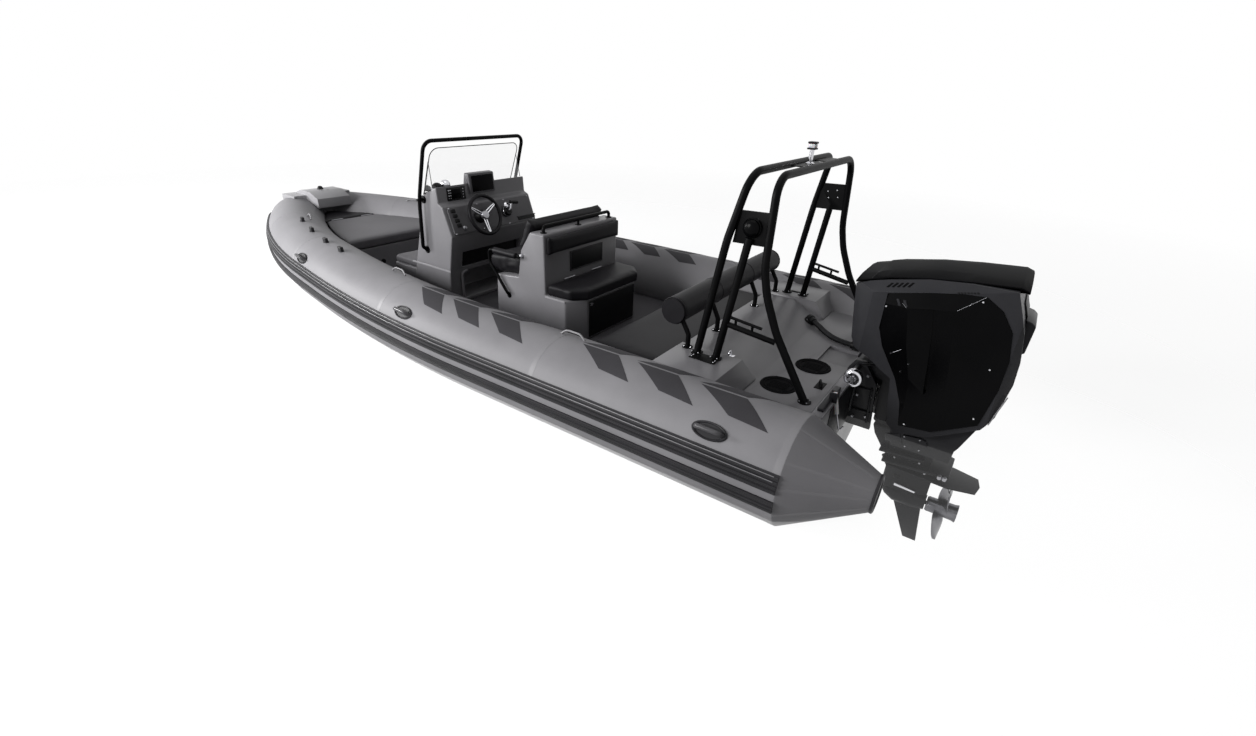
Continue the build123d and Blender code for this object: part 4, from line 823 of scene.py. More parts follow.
def pillow(node, name, finish, body="boat", voxel=0.013, rise_cap=0.008, slot="upholstery", ease=0.016,
           hinge=None, swell=0.0):
    """A padded piece grown inside its CAD solid: a tight skin blown up a little, flat where it rests.

    A hinge is (x, z, side): the skin stays below it, and ahead of it for side 1 or astern for -1.
    """
    shape = bmesh.new()
    shape.from_mesh(copied(node))
    if hinge:
        hinge_x, hinge_z, side = hinge
        for v in shape.verts:
            v.co.x = (max if side > 0 else min)(v.co.x, hinge_x)
            v.co.z = min(v.co.z, hinge_z)
    bmesh.ops.recalc_face_normals(shape, faces=shape.faces)
    start = bpy.data.meshes.new(name)
    shape.to_mesh(start)
    shape.free()
    start = eased(start, ease, 3)
    made = place(name, start, finish, body, 60, [node], slot)
    floor_z = min(v.co.z for v in start.vertices)
    skin = made.modifiers.new("skin", "REMESH")
    skin.mode, skin.voxel_size = "VOXEL", voxel
    bake(made)
    rest = [v.co.copy() for v in made.data.vertices]
    cloth = made.modifiers.new("cloth", "CLOTH")
    cloth.settings.use_pressure, cloth.settings.uniform_pressure_force = True, 4.0
    cloth.settings.effector_weights.gravity = 0.0
    cloth.settings.quality = 4
    cloth.point_cache.frame_start, cloth.point_cache.frame_end = 1, 14
    for tick in range(1, 15):
        scene.frame_set(tick)
    bake(made)
    for v, was in zip(made.data.vertices, rest):
        step = v.co - was
        if step.length > rise_cap:
            v.co = was + step.normalized() * rise_cap
        v.co.z = max(v.co.z, floor_z)
    scene.frame_set(1)
    relax = made.modifiers.new("relax", "SMOOTH")
    relax.factor, relax.iterations = 0.5, 3
    fine = made.modifiers.new("fine", "SUBSURF")
    fine.levels = fine.render_levels = 1
    bake(made)
    for v in made.data.vertices:
        v.co.z += swell * min(1, max(0, (v.co.z - bolster_z) / bolster_run)) * (v.co.x > bolster_x)
    made.data.materials.clear()
    made.data.materials.append(finish)
    for polygon in made.data.polygons:
        polygon.use_smooth = True
    return made


bow_vinyl = grained("bow_marine_vinyl", "#565558", "#605f62", 0.5, 4, 0.22, 0.15, pattern="pebble",
                    blotch_mm=250)
# each lid's hinge as x, z and the side that its cushion lies on
hinges = {"jump": (2.084, 0.405, -1), "bench": (0.878, 0.295, 1), "bow": (5.15, 0.358, -1)}
for lid, (x, z, _) in hinges.items():
    knuckles = both(piped([(x, 0.101, z), (x, 0.219, z)], 0.0039, 14))
    place(lid + "_hinge_knuckles", knuckles, worn_steel, lid + "_lid", limit=50)
pillow("helm_cushion", "helm_seat_pad", black_vinyl, voxel=0.012, ease=0.022)
pillow("jump_cushion", "jump_seat_pad", black_vinyl, "jump_lid", voxel=0.012, ease=0.016,
       hinge=hinges["jump"])
pillow("bench_cushion", "bench_seat_pad", black_vinyl, "bench_lid", voxel=0.015, ease=0.018,
       hinge=hinges["bench"])
pillow("front_cushion", "front_seat_pad", bow_vinyl, voxel=0.013, ease=0.014)
pillow("back_pads", "back_rest_pads", black_vinyl, voxel=0.01, rise_cap=0.007, ease=0.012, swell=0.04)
pillow("bow_cushion", "bow_lid_pad", bow_vinyl, "bow_lid", voxel=0.015, slot="bow_vinyl", ease=0.014,
       hinge=hinges["bow"])
# the tip pad's black vinyl is painted shade of the hollow between the nose and the bow cushion
pillow("bow_cushion_tip", "bow_tip_pad", black_vinyl, voxel=0.014, slot="bow_vinyl", ease=0.014)
pillow("bench_backrest", "bench_roll", black_vinyl, voxel=0.012, rise_cap=0.006, ease=0.012)

# ------------------------------------------------------------------ seat fittings

place("jump_locker_door", block((1.803, -0.275, 0.045), (1.8105, 0.275, 0.312), 0.003), black_plastic,
      slot="dark_panel")
place("jump_door_latch", spun([(0, 0), (0.012, 0), (0.012, 0.005), (0, 0.006)], 20, (1.803, 0.255, 0.29),
                              (-1, 0, 0)), polished_steel)
place("back_locker_door", block((2.0835, -0.225, 0.452), (2.0895, 0.145, 0.592), 0.0028), black_plastic,
      over=["locker_panel"], slot="dark_panel")
rim_bars = (((2.082, -0.2298, 0.4498), (2.0895, -0.221, 0.5942)),
            ((2.082, 0.141, 0.4498), (2.0895, 0.1498, 0.5942)),
            ((2.082, -0.2298, 0.586), (2.0895, 0.1498, 0.5942)),
            ((2.082, -0.2298, 0.4498), (2.0895, 0.1498, 0.458)))
place("back_locker_rim", joined("rim", *[block(low, high, 0.002) for low, high in rim_bars]), dash_plastic)

rail_line = rounded([(2.135, 0.37, 0.756), (2.135, 0.37, 0.8), (2.135, -0.37, 0.8), (2.135, -0.37, 0.756)],
                    [0.025, 0.025], 0.005)
rail_parts = [piped(rail_line, 0.012, 18), piped([(2.135, 0, 0.756), (2.135, 0, 0.79)], 0.0085, 14)]
rail_parts += [spun(flange(0.024, 0.014), 26, (2.135, y, 0.7552), (0, 0, 1)) for y in (-0.37, 0, 0.37)]
place("seat_hand_rail", joined("rail", *rail_parts), black_coat, over=["hand_rail"], slot="arch_paint")

arm_line = rounded([(2.3, 0.444, 0.575), (2.61, 0.444, 0.575), (2.61, 0.444, 0.48), (2.45, 0.444, 0.284),
                    (2.45, 0.418, 0.25)], [0.03, 0.06, 0.02], 0.005)
place("armrest_tubes", both(piped(arm_line, 0.011, 16)), black_coat, over=["armrests"], slot="arch_paint")
arm_pad = spun([(0, 0), (0.017, 0), (0.0225, 0.006), (0.0235, 0.02), (0.0235, 0.205), (0.0225, 0.222),
                (0.016, 0.229), (0, 0.229)], 28, (2.331, 0.444, 0.575), (1, 0, 0))
place("armrest_pads", both(arm_pad), black_vinyl, slot="upholstery")
place("armrest_pivots", both(spun([(0, 0), (0.014, 0), (0.014, 0.018), (0.01, 0.022), (0, 0.022)], 20,
                                  (2.303, 0.4215, 0.575), (0, 1, 0))), polished_steel, limit=50)
place("armrest_feet", both(spun([(0, 0), (0.02, 0), (0.02, 0.004), (0, 0.005)], 20, (2.45, 0.4185, 0.25),
                                (0, 1, 0))), black_coat)

# moulded steps along the seat's sides; their pale gelcoat is a painted highlight along the steps
ledges = [prism([(1.906, 0.316), (2.088, 0.316), (2.088, 0.328), (1.906, 0.328)], "y", side * 0.419,
                side * 0.424, 0.0015) for side in (1, -1)]
place("seat_ledges_painted_highlight", joined("ledges", *ledges), pale_gelcoat, slot="gelcoat")

# ------------------------------------------------------------------ bench backrest

roll_caps = [spun([(0, 0), (0.064, 0), (0.07, 0.004), (0.071, 0.01), (0, 0.01)], 36,
                  (0.9, side * 0.676, 0.588), (0, side, 0)) for side in (1, -1)]
place("roll_end_discs", joined("caps", *roll_caps), black_vinyl, slot="upholstery")
welt_turns = [0.1309 * k for k in range(48)]      # 48 steps to a turn
welts = [piped([Vector((0.9 + 0.0745 * math.cos(a), y, 0.588 + 0.0745 * math.sin(a))) for a in welt_turns],
               0.0032, 8, closed=True)
         for y in (-0.672, -0.225, 0.225, 0.672)]
place("roll_welts", joined("welts", *welts), black_vinyl)
leg_parts, leg_feet = [], []
for y, foot in ((0.64, 0.385), (0.28, 0.37), (-0.28, 0.37), (-0.64, 0.385)):
    leg_parts.append(piped(rounded([(0.815, y, foot), (0.815, y, foot + 0.075), (0.87, y, 0.548)], [0.04],
                                   0.005), 0.014, 18))
    leg_parts.append(spun(flange(0.03, 0.02), 28, (0.815, y, foot), (0, 0, 1)))
    leg_feet += [(Vector((0.815 + 0.023 * math.cos(a), y + 0.023 * math.sin(a), foot + 0.0055)), (0, 0, 1))
                 for a in (0.8, 2.9, 5.0)]
place("backrest_leg_tubes", joined("legs", *leg_parts), black_coat, over=["backrest_legs"], slot="arch_paint")
dots("backrest_leg_screws", leg_feet, polished_steel, radius=0.004, height=0.003)

# ------------------------------------------------------------------ stern deck

hatch_profile = [(0, 0.001), (0.07, 0.001), (0.073, 0.0045), (0.079, 0.0045), (0.081, 0.002), (0.084, 0.002),
                 (0.086, 0.0055),
                 (0.097, 0.0045), (0.1, 0), (0, 0)]
hatch_parts, hatch_screws = [], []
for x, y in ((0.298, 0.545), (0.228, 0.2)):
    hatch_parts.append(spun(hatch_profile, 56, (x, y, 0.278), (0, 0, 1)))
    hatch_parts += [block((x - 0.052, y + 0.018 * k - 0.004, 0.2785),
                          (x + 0.052, y + 0.018 * k + 0.004, 0.2812), 0.001) for k in (-2, -1, 0, 1, 2)]
    for turn in [k * SIXTH_TURN for k in range(6)]:
        hatch_screws.append((Vector((x + 0.092 * math.cos(turn), y + 0.092 * math.sin(turn), 0.2832)),
                             (0, 0, 1)))
place("deck_hatch_lids", joined("hatches", *hatch_parts), engine_lid, over=["deck_hatches"], slot="gelcoat")
dots("deck_hatch_screws", hatch_screws, black_coat, radius=0.0045, height=0.002)
place("transom_trim", block((0.001, -0.74, 0.268), (0.012, 0.74, 0.2795), 0.003), pale_gelcoat,
      slot="gelcoat")

# ------------------------------------------------------------------ stern arch and its lamps

for arch_node in ("arch_port", "arch_starboard", "arch_top", "arch_cleats"):
    place(arch_node + "_bars", copied(arch_node), black_coat, limit=40, over=[arch_node], slot="arch_paint")
feet = [(x, side * y, z) for x, y, z in ((0.736, 0.675, 0.388), (0.621, 0.677, 0.388), (0.125, 0.64, 0.276))
        for side in (1, -1)]
dots("foot_bolts", [((x + 0.0275 * math.cos(k * 1.571 + 0.7), y + 0.0275 * math.sin(k * 1.571 + 0.7),
                      z + 0.007), (0, 0, 1)) for x, y, z in feet for k in range(4)],
     worn_steel, radius=0.0042, height=0.005)
foot_plates = [block((0.592, side * 0.7 - 0.026, 0.386), (0.742, side * 0.732 + 0.026, 0.3905), 0.0015)
               for side in (1, -1)]
place("foot_plates", joined("plates", *foot_plates), black_coat, slot="arch_paint")
dots("foot_plate_screws", [((x, side * y, 0.3915), (0, 0, 1)) for side in (1, -1) for x in (0.602, 0.732)
                           for y in (0.742, 0.718)], worn_steel, radius=0.004)
plate_spots = ((0.565, 1.118), (0.508, 1.13), (0.555, 1.08), (0.497, 1.088))
dots("side_plate_screws", side_spots(0.6325, plate_spots) + side_spots(0.6235, plate_spots, -1),
     polished_steel, radius=0.0045)
# a domed black lamp cover on each side plate, in a ring
dome_turns = [0.1745 * k for k in range(9)]      # ten degrees each
dome = [(0, 0), (0.048, 0), (0.048, 0.008), (0.044, 0.012)]
dome += [(0.043 * math.cos(a), 0.012 + 0.026 * math.sin(a)) for a in dome_turns] + [(0, 0.038)]
place("side_lamp", spun(dome, 44, (0.53, 0.632, 1.09), (0, 1, 0)), engine_black, over=["arch_lights"],
      slot="lamp")
place("side_lamp_ring", spun([(0.04, 0.009), (0.0425, 0.0155), (0.0375, 0.018), (0.035, 0.013)], 44,
                             (0.53, 0.632, 1.09), (0, 1, 0)), black_coat, limit=50)
# the stern light: a flanged mast, a square head with a frosted lens
mast = turned([(0, 0), (0.024, 0), (0.024, 0.004), (0.016, 0.008), (0.012, 0.012), (0.012, 0.072),
               (0.014, 0.074), (0, 0.074)], 28)
place("light_mast", moved(mast, (0.512, 0, 1.336), (0, 0, 1)), polished_steel, limit=40, slot="lamp")
head = [block((0.489, -0.023, 1.409), (0.535, 0.023, 1.418), 0.003),
        block((0.489, -0.023, 1.438), (0.535, 0.023, 1.4485), 0.004)]
place("light_head", joined("head", *head), black_plastic, slot="lamp")
place("light_lens", block((0.492, -0.02, 1.416), (0.532, 0.02, 1.44), 0.006), white_lens, slot="lamp")

# ------------------------------------------------------------------ bow and deck fittings

bow_lamp = turned([(0, 0), (0.032, 0), (0.033, 0.006), (0.028, 0.016), (0.024, 0.026), (0.016, 0.036),
                   (0, 0.04)], 36)
bow_light_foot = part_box("bow_light")[0] * 0.5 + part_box("bow_light")[1] * 0.5 - Vector((0, 0, 0.02))
place("bow_light_body", moved(bow_lamp, bow_light_foot), black_plastic, over=["bow_light"], slot="lamp",
      limit=40)
post = [(0.01, 0), (0.018, 0), (0.018, 0.022), (0.012, 0.03), (0, 0.03)]
posts = [spun(post, 20, (5.58, y, 0.545)) for y in (-0.03, 0.03)]
fairlead_base = block((5.56, -0.05, 0.536), (5.6, 0.05, 0.548), 0.004)
place("bow_fairlead", joined("fairlead", fairlead_base, *posts), black_plastic)
place("deck_pad_eye_base", block((0.58, 0.505, 0.348), (0.632, 0.545, 0.3535), 0.003), polished_steel,
      slot="steel")
eye_line = rounded([(0.606, 0.508, 0.352), (0.606, 0.508, 0.378), (0.606, 0.542, 0.378),
                    (0.606, 0.542, 0.352)], [0.014, 0.014], 0.004)
place("deck_pad_eye", piped(eye_line, 0.0042, 12), polished_steel)
u_fitting = piped(rounded([(0.13, 0.38, 0.277), (0.13, 0.38, 0.3), (0.104, 0.44, 0.3), (0.104, 0.44, 0.277)],
                          [0.012, 0.012], 0.004), 0.006, 12)
place("deck_hook", joined("hook", u_fitting, block((0.094, 0.366, 0.2765), (0.14, 0.456, 0.281), 0.003)),
      black_coat, slot="steel")
place("tow_eye_lugs", copied("tow_eyes", 0.003), polished_steel, over=["tow_eyes"], slot="steel")
place("locker_latch", spun([(0, 0), (0.022, 0), (0.022, 0.004), (0.016, 0.007), (0, 0.007)], 30,
                           (4.25, 0.28, 0.13), (-1, 0, 0.05)), black_plastic)

# ------------------------------------------------------------------ outboard brackets and leg

# a dark sheet on the transom's aft face: painted shade where the brackets and cables shadow it
place("transom_painted_shade", block((-0.0032, -0.56, -0.03), (-0.0008, 0.6, 0.262), 0.001), black_plastic)
place("clamp_plates", copied("clamp_bracket", 0.004), casting_black, slot="engine_grey",
      over=["clamp_bracket"])
cap_turn = [(0, 0), (0.04, 0), (0.049, 0.004), (0.05, 0.028), (0.046, 0.036), (0.036, 0.042), (0.034, 0.037),
            (0.016, 0.037), (0.014, 0.042), (0, 0.042)]
place("tilt_pin_caps", both(spun(cap_turn, 44, (-0.01, 0.245, 0.31), (0, 1, 0))), polished_steel,
      over=["tilt_caps"], limit=30, slot="steel")
hole_turns = [k * SIXTH_TURN for k in range(6)]
cap_holes = [((0.025 * math.cos(a) - 0.01, side * 0.282, 0.31 + 0.025 * math.sin(a)), (0, side, 0))
             for a in hole_turns for side in (1, -1)]
dots("cap_holes", cap_holes, black_plastic, radius=0.0055, height=0.005)
place("steering_ram", piped([(0, -0.243, 0.32), (0, -0.124, 0.32)], 0.019, 24), polished_steel, limit=40)
place("steering_link", both(piped([(0, 0.124, 0.32), (0, 0.243, 0.32)], 0.0185, 24)), casting_black, limit=40)
clamp_spots = ((-0.03, 0.235), (-0.028, 0.15), (-0.1, 0.16), (-0.03, 0.01), (-0.1, 0.03), (-0.06, 0.28))
dots("clamp_bolts", side_spots(0.1235, clamp_spots), worn_steel, radius=0.01, height=0.008, sides=6)
clamp_ribs = [block((-0.12, 0.12, 0.055), (-0.01, 0.134, 0.066), 0.003),
              block((-0.105, 0.12, 0.195), (-0.008, 0.134, 0.205), 0.003),
              prism([(-0.118, -0.03), (-0.106, -0.03), (-0.09, 0.215), (-0.101, 0.215)], "y", 0.12, 0.136,
                    0.003)]
place("clamp_ribs", both(joined("ribs", *clamp_ribs)), casting_black, slot="engine_grey")
for node, name, ease, finish, body, slot in (
        ("swivel_bracket", "swivel_casting", 0.003, casting_black, "tilt_bracket", "engine_grey"),
        ("ram_barrel", "ram_barrel_skin", 0.002, casting_black, "ram_barrel_body", "engine_grey"),
        ("ram_rod", "ram_rod_skin", 0.001, polished_steel, "ram_rod_body", "steel"),
        ("midsection", "leg_casting", 0.005, engine_grey, "motor", "engine_grey"),
        ("gearcase", "gearcase_casting", 0.0025, engine_grey, "motor", "engine_grey")):
    place(name, copied(node, ease), finish, body, over=[node], slot=slot)
mount_outline = [(-0.14, -0.028), (-0.262, -0.028), (-0.262, -0.19), (-0.235, -0.19), (-0.16, -0.085)]
mount_cover = prism(mount_outline, "y", -0.065, 0.065, 0.008)
place("lower_mount_cover", mount_cover, casting_black, "motor", slot="engine_grey")
ledge_table = (    # outline, half width, easing
    ([(-0.212, -0.166), (-0.449, -0.148), (-0.449, -0.134), (-0.212, -0.15)], 0.108, 0.005),
    ([(-0.24, -0.222), (-0.59, -0.196), (-0.59, -0.178), (-0.24, -0.204)], 0.118, 0.006),
    ([(-0.262, -0.112), (-0.52, -0.098), (-0.52, -0.09), (-0.262, -0.104)], 0.094, 0.003))
ledges = [prism(outline, "y", -half, half, ease) for outline, half, ease in ledge_table]
place("leg_ledges", joined("ledges", *ledges), engine_grey, "motor", slot="engine_grey")


def pan_y(z):
    """The half width of the pan's leaning side at a height."""
    return 0.13 + (z + 0.09) * 0.4667


def on_pan(outline, out, base=-0.002):
    """A plate on the pan's leaning port face, from (x, z) corners."""
    lean = Vector((0, 0.906, -0.423))
    foot = [Vector((x, pan_y(z), z)) for x, z in outline]
    return eased(mesh_of("plate", [at + lean * level for level in (base, out) for at in foot],
                         walls(len(foot))), 0.0025)


pan_plates = [on_pan([(-0.225, -0.004), (-0.3, 0.032), (-0.323, -0.048), (-0.233, -0.059)], 0.004),
              on_pan([(-0.317, 0.034), (-0.405, 0.046), (-0.432, 0.036), (-0.446, -0.007), (-0.436, -0.04),
                      (-0.41, -0.058), (-0.33, -0.062)], 0.008)]
place("pan_latch_plates", both(joined("plates", *pan_plates)), engine_grey, "motor", slot="engine_grey")
pan_spots = [(-0.324, 0.026), (-0.402, 0.036), (-0.338, -0.052), (-0.41, -0.048)]
dots("pan_screws", [((x, side * (pan_y(z) + 0.0075), z - 0.0035), (0, side * 0.906, -0.423))
                    for x, z in pan_spots for side in (1, -1)], worn_steel, "motor", radius=0.005)
leg_spots = ((-0.272, 0.02), (-0.285, -0.04), (-0.3, -0.185), (-0.43, -0.17), (-0.47, -0.225))
dots("leg_bolts", side_spots(0.0785, leg_spots), worn_steel, "motor", radius=0.008, height=0.01, sides=6)
rear_lugs = [spun([(0, -0.006), (0.013, -0.006), (0.013, 0.01), (0.008, 0.016), (0, 0.016)], 20,
                  (x, 0.1175, -0.196), (0, 0.4, 1)) for x in (-0.545, -0.57)]
place("ledge_bolts", both(joined("bolts", *rear_lugs)), worn_steel, "motor", limit=40)
anode = prism([(-0.335, -0.372), (-0.455, -0.384), (-0.455, -0.398), (-0.335, -0.392)], "y", 0.014, 0.052,
              0.006)
place("gearcase_trim", both(anode), polished_steel, "motor", slot="steel")
place("water_intake", both(moved(block((-0.018, -0.012, -0.004), (0.018, 0.012, 0.0015), 0.002),
                                 (-0.34, 0.0345, -0.335), (0, 1, 0))), black_plastic, "motor")

# the propeller: a flared hub and three raked, twisted blades
hub_line = [(0.0125, 0.004), (0.04, 0.004), (0.045, -0.004), (0.046, -0.06), (0.048, -0.14), (0.053, -0.158),
            (0.05, -0.16), (0.042, -0.15), (0.04, -0.12), (0.0125, -0.12)]
screw_parts = [spun(hub_line, 48, (-0.529, 0, -0.46), (1, 0, 0))]
blade_step, pitch, shaft_z = 2.0944, 0.4, -0.46      # a third of a turn, then metres
rows, span = 13, 13      # stations up a blade, points across each of its faces
for blade in range(3):
    points, faces = [], []
    for row in range(rows):
        share = row / (rows - 1)
        radius = 0.042 + 0.142 * share
        chord = 0.5 * (0.095 + 0.11 * math.sin(2.2 * share)) * math.sqrt(max(0.02, 1 - share ** 5))
        lead = math.atan2(pitch, 6.283 * radius)
        for side in (1, -1):
            for col in range(span):
                u = col / 6 - 1
                thick = side * (0.0042 * (1 - share) + 0.0012) * math.sqrt(max(0.0, 1 - u * u))
                thick += 0.01 * (u * u - 0.4) * (0.4 + share)
                sweep = u * chord * math.cos(lead) + 0.028 * share * share
                around = sweep / radius + blade * blade_step + 0.35
                x = -0.602 - u * chord * math.sin(lead) * 0.62 - 0.02 * share + thick * math.cos(lead)
                x = min(max(x, -0.684), -0.532)
                points.append((x, radius * math.sin(around), shaft_z + radius * math.cos(around)))
    for row in range(rows - 1):
        for side in (0, span):
            for col in range(span - 1):
                here = 2 * row * span + side + col
                faces.append([here, here + 1, here + 2 * span + 1, here + 2 * span])
    for col in range(span - 1):
        for here in (col, 2 * (rows - 1) * span + col):
            faces.append([here, here + 1, here + span + 1, here + span])
    screw_parts.append(mesh_of("blade", points, faces))
place("propeller_blades", joined("screw", *screw_parts), screw_steel, "screw", limit=50, over=["propeller"],
      slot="steel")
place("propeller_nut", spun([(0, 0), (0.02, 0), (0.02, -0.012), (0.012, -0.016), (0, -0.018)], 6,
                            (-0.672, 0, -0.46), (1, 0, 0)), worn_steel, "motor")

# ------------------------------------------------------------------ cowl


def cowl_y(x):
    """The half width of the cowl's flank at a station, out from the keel plane."""
    return 0.255 + (0.06 - x) * 0.0604 if x > -0.42 else 0.284 - (-0.42 - x) * 0.0786


place("cowl_frame_cover", copied("cowl_frame", 0.004), engine_grey, "motor", over=["cowl_frame"],
      slot="engine_grey", limit=14)
lid = copied("cowl_cap")
for v in lid.vertices:
    side_z = 0.886 + (0.026 - v.co.x) / 0.66 * 0.079 if v.co.x < 0.026 else 0.862
    v.co.z -= 0.013 * min(1, max(0, (v.co.z - side_z + 0.02) / 0.03))
place("cowl_top_lid", eased(lid, 0.005), engine_lid, "motor", over=["cowl_cap"], slot="engine_black",
      limit=14)
# a flank: named corners as (x, z, depth under the flank), then the facets between them
flank = dict(
    o0=(-0.004, 0.783, 0.01), o1=(-0.058, 0.659, 0.007), o2=(-0.109, 0.525, 0.007),
    o3=(-0.209, 0.371, 0.007), o4=(-0.262, 0.246, 0.006), o5=(-0.285, 0.12, 0.004),
    o6=(-0.435, 0.142, 0.002), c4=(-0.468, 0.161, 0), o7=(-0.622, 0.248, 0), o8=(-0.653, 0.452, 0),
    o9=(-0.655, 0.597, 0), o10=(-0.626, 0.741, 0), o11=(-0.564, 0.83, 0.002), o12=(-0.488, 0.88, 0.01),
    o13=(-0.394, 0.874, 0.02), o14=(-0.259, 0.848, 0.018), o15=(-0.08, 0.806, 0.012),
    f0=(-0.026, 0.768, 0.004), f1=(-0.081, 0.751, 0), l0=(-0.18, 0.752, 0), st=(-0.29, 0.775, 0),
    f4=(-0.384, 0.791, 0), l1=(-0.219, 0.561, 0), l2=(-0.27, 0.395, 0), l3=(-0.286, 0.25, 0.001),
    c1=(-0.405, 0.687, 0), c2=(-0.428, 0.514, 0), c3=(-0.453, 0.305, 0), sa=(-0.288, 0.768, 0.022),
    sb=(-0.311, 0.66, 0.024), sc=(-0.334, 0.489, 0.022), sd=(-0.35, 0.358, 0.01), ta=(-0.309, 0.777, 0),
    tb=(-0.332, 0.661, 0), tc=(-0.354, 0.489, 0), td=(-0.364, 0.346, 0), s4=(-0.356, 0.334, 0))
for low, high in ("su", "tv"):      # the bottom of the groove between the s and the t corners
    for row in "abcd":
        flank[high + row] = (*flank[low + row][:2], 0.032)
rim_names = [f"o{k}" for k in range(7)] + ["c4"] + [f"o{k}" for k in range(7, 16)]
for name in rim_names:
    flank["b" + name] = (*flank[name][:2], cowl_y(flank[name][0]) - 0.2515)
facets = """
o0 o1 f1 f0|o0 f0 f1 o15|o15 f1 l0 o14|o14 l0 st ta f4 o13|o13 f4 o12|o1 o2 l1 l0 f1|o2 o3 l2 l1
o3 o4 l3 l2|o4 o5 l3|l0 l1 sb sa|l1 l2 sc sb|l2 sd sc|l0 sa st|l2 s4 sd|sa sb ub ua|sb sc uc ub
sc sd ud uc|ua ub vb va|ub uc vc vb|uc ud vd vc|va vb tb ta|vb vc tc tb|vc vd td tc|st sa ua va ta
sd s4 td vd ud|ta tb c1 f4|tb tc c2 c1|tc td c3 c2|l2 l3 o5 o6 c4 c3 td s4
c4 o7 o8 o9 o10 o11 o12 f4 c1 c2 c3
""".strip().replace("\n", "|").split("|")
names = list(flank)
corners_3d = [(x, cowl_y(x) - deep, z) for x, z, deep in flank.values()]
flank_faces = [[names.index(name) for name in facet.split()] for facet in facets]
flank_faces.append([names.index("b" + name) for name in rim_names])
for name, after in zip(rim_names, rim_names[1:] + rim_names[:1]):
    flank_faces.append([names.index(name), names.index(after), names.index("b" + after),
                        names.index("b" + name)])
flank_mesh = eased(mesh_of("flank", corners_3d, flank_faces), 0.0022, 2, 6)
place("cowl_flanks", both(flank_mesh), engine_black, "motor", over=["cowl_panels"], slot="engine_black",
      limit=3)
screw_spots = [(-0.081, 0.739), (-0.478, 0.859), (-0.159, 0.503), (-0.252, 0.472), (-0.226, 0.422),
               (-0.592, 0.548), (-0.312, 0.142), (-0.598, 0.281)]
flank_screws = [((x, side * (cowl_y(x) - (0.003 if x > -0.2 else 0)), z), (0.06 * side, side, 0))
                for x, z in screw_spots for side in (1, -1)]
dots("flank_screws", flank_screws, polished_steel, "motor", radius=0.0058, height=0.006)
# painted highlights: thin steel strips where the lacquer's edges catch the light
strips = [piped([(-0.166, cowl_y(-0.166) - 0.003, 0.508), (-0.2, cowl_y(-0.2) - 0.001, 0.535)], 0.0016, 8),
          piped([(-0.01, cowl_y(-0.01) - 0.006, 0.777), (-0.036, cowl_y(-0.036) - 0.003, 0.762)], 0.001, 8),
          piped([(-0.15, cowl_y(-0.15) - 0.001, 0.772), (-0.172, cowl_y(-0.172), 0.753)], 0.001, 8),
          piped([(-0.388, cowl_y(-0.388) - 0.001, 0.794), (-0.484, cowl_y(-0.484) - 0.009, 0.879)], 0.0008,
                8)]
place("flank_painted_highlights", both(joined("strips", *strips)), worn_steel, "motor", limit=60)
bars = [prism([(x, 0.786), (x - 0.012, 0.788), (x - 0.03, 0.752), (x - 0.018, 0.75)], "y",
              cowl_y(x) - 0.016, cowl_y(x) + 0.0005, 0.001) for x in (-0.118, -0.15)]
place("band_bar", both(joined("bars", *bars)), engine_grey, "motor")

shoulder_out = Vector((0.124, 0.814, 0.565))


def on_shoulder(x, y, out=0.0):
    """A point on the leaning shoulder between the lid and the flank, port side."""
    return Vector((x, y, 0.776 + (0.06 - x) / 0.66 * 0.145 + (0.268 - y) * 62 / 43)) + shoulder_out * out


slots = []
for k in range(5):
    middle = on_shoulder(-0.072 - 0.023 * k, 0.243)
    slots.append(moved(prism([(-0.014, -0.014), (-0.003, -0.014), (0.012, 0.014), (0.001, 0.014)], "z",
                             -0.006, 0.0024, 0.001), middle, shoulder_out))
place("shoulder_slots", both(joined("slots", *slots)), engine_black, "motor")
vents = [moved(block((-0.005, -0.004, -0.004), (0.005, 0.004, 0.0015), 0.001),
               on_shoulder(-0.372 - 0.0125 * k, 0.266), shoulder_out) for k in range(7)]
place("shoulder_vents", both(joined("vents", *vents)), black_plastic, "motor")
# the rear grip, the pale strips beside it and the bar of the lid's hinge
grip = prism([(-0.676, 0.6), (-0.664, 0.775), (-0.69, 0.768), (-0.71, 0.752), (-0.704, 0.615)], "y", -0.1,
             0.14, 0.006)
place("rear_grip", grip, engine_grey, "motor", slot="engine_grey")
strips = [piped([(-0.672, 0.252, 0.3), (-0.7, 0.236, 0.42)], 0.003, 8),
          piped([(-0.664, 0.256, 0.262), (-0.676, 0.249, 0.312)], 0.0025, 8)]
place("rear_strips", joined("strips", *strips), pale_gelcoat, "motor")
place("lid_hinge_bar", prism([(-0.64, 0.845), (-0.668, 0.78), (-0.66, 0.775), (-0.632, 0.838)], "y", -0.1,
                             0.1, 0.003), black_plastic, "motor")

# cables and fittings between the cowl and the transom
fuel_line = rounded([(-0.15, 0.062, 0.338), (-0.12, 0.11, 0.368), (-0.06, 0.15, 0.36), (-0.02, 0.165, 0.352)],
                    [0.03, 0.03], 0.006)
place("black_top_bar", block((0.012, 0.395, 0.2795), (0.046, 0.69, 0.301), 0.006), casting_black)
place("strut_lug", joined("lug", block((-0.012, 0.522, 0.279), (0.03, 0.53, 0.335), 0.003),
                          block((-0.012, 0.55, 0.279), (0.03, 0.558, 0.335), 0.003)), casting_black)
place("white_strut", piped([(0.008, 0.54, 0.33), (-0.0215, 0.54, 0.218)], 0.0115, 20, cap=0.002), white_lens,
      slot="gelcoat")
place("strut_rod", piped(rounded([(-0.0205, 0.54, 0.222), (-0.05, 0.54, 0.126), (-0.066, 0.54, 0.158)],
                                 [0.006], 0.003), 0.0045, 12), worn_steel)
place("fuel_cable", piped(fuel_line, 0.007, 12), black_plastic)
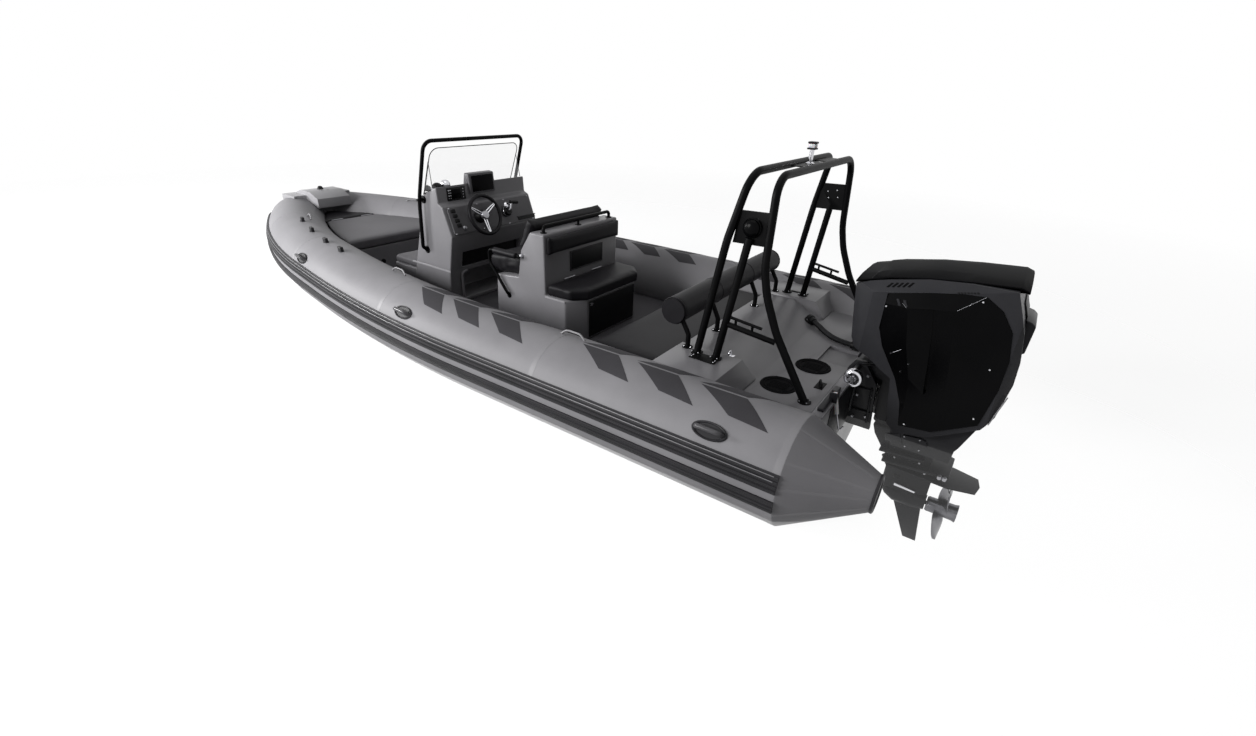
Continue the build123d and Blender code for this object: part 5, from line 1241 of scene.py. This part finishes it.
place("cable_bar", prism([(-0.016, 0.25), (-0.004, 0.25), (-0.004, 0.06), (-0.016, 0.06)], "y", 0.15, 0.172,
                         0.003), casting_black)

# ------------------------------------------------------------------ floor and light

# the floor lies at the waterline and lets the parts under it show faintly, as shallow water does
floor_mesh = mesh_of("floor", [(-30, -30, 0), (30, -30, 0), (30, 30, 0), (-30, 30, 0)], [[0, 1, 2, 3]])
water, water_tree, water_shader = open_finish("pale_water",
                                              {"Base Color": srgb("#fbfbfc"), "Roughness": 0.7,
                                               "Specular IOR Level": 0.02})
water_rays = add_node(water_tree, "ShaderNodeLightPath")
water_glow = add_node(water_tree, "ShaderNodeMapRange", {"To Max": 0.5},
                      Value=water_rays.outputs["Is Camera Ray"])
water_shader.inputs["Emission Color"].default_value = srgb("#ffffff")
water_tree.links.new(water_glow.outputs["Result"], water_shader.inputs["Emission Strength"])
# clear round the engine's leg, cloudier away from it
water_place = add_node(water_tree, "ShaderNodeTexCoord").outputs["Object"]
leg_spot = add_node(water_tree, "ShaderNodeVectorMath", {"operation": "DISTANCE", 1: (-0.55, 0.25, 0)},
                    _0=water_place)
water_cloud = add_node(water_tree, "ShaderNodeMapRange",
                       {"From Min": 0.7, "From Max": 1.6, "To Min": 0.05, "To Max": 0.28},
                       Value=leg_spot.outputs["Value"])
boat_spot = add_node(water_tree, "ShaderNodeVectorMath", {"operation": "DISTANCE", 1: (2.5, 0, 0)},
                     _0=water_place)
water_edge = add_node(water_tree, "ShaderNodeMapRange",
                      {"From Min": 4.5, "From Max": 10.0, "To Min": 1.0, "To Max": 0.0},
                      Value=boat_spot.outputs["Value"])
water_cloud = add_node(water_tree, "ShaderNodeMath", {"operation": "MULTIPLY"},
                       _0=water_cloud.outputs["Result"], _1=water_edge.outputs["Result"])
water_tree.links.new(water_cloud.outputs[0], water_shader.inputs["Alpha"])
floor_obj = bpy.data.objects.new("pale_floor", floor_mesh)
floor_mesh.materials.append(water)
scene.collection.objects.link(floor_obj)

world = bpy.data.worlds.new("studio")
scene.world = world
world.use_nodes = True
world.node_tree.nodes.clear()
rays = add_node(world.node_tree, "ShaderNodeLightPath")
seen = add_node(world.node_tree, "ShaderNodeMath", {"operation": "MAXIMUM"}, _0=rays.outputs["Is Camera Ray"],
                _1=rays.outputs["Is Glossy Ray"])
seen = add_node(world.node_tree, "ShaderNodeMath", {"operation": "MAXIMUM"}, _0=seen.outputs[0],
                _1=rays.outputs["Is Transmission Ray"])
power = add_node(world.node_tree, "ShaderNodeMapRange", {"To Min": 0.17, "To Max": 1.0},
                 Value=seen.outputs[0])
sky = add_node(world.node_tree, "ShaderNodeBackground", {"Color": srgb("#ffffff")},
               Strength=power.outputs["Result"])
add_node(world.node_tree, "ShaderNodeOutputWorld", Surface=sky.outputs["Background"])


def lamp(name, at, aim, power, size):
    """A square area light at a point, aimed at another."""
    light = bpy.data.lights.new(name, "AREA")
    light.energy, light.shape, light.size, light.size_y = power, "RECTANGLE", size, size
    made = bpy.data.objects.new(name, light)
    scene.collection.objects.link(made)
    made.matrix_world = Matrix.Translation(at) @ facing(Vector(at) - Vector(aim)).to_4x4()


lamp("overhead", (1.5, 1.5, 8.0), (1.8, 0.0, 0.2), 110, 6.0)
lamp("port_bow", (5.2, 7.4, 3.0), (1.6, 0.3, 0.3), 560, 3.0)
lamp("bow", (8.4, 4.2, 2.2), (5.0, 0.6, 0.2), 360, 1.6)
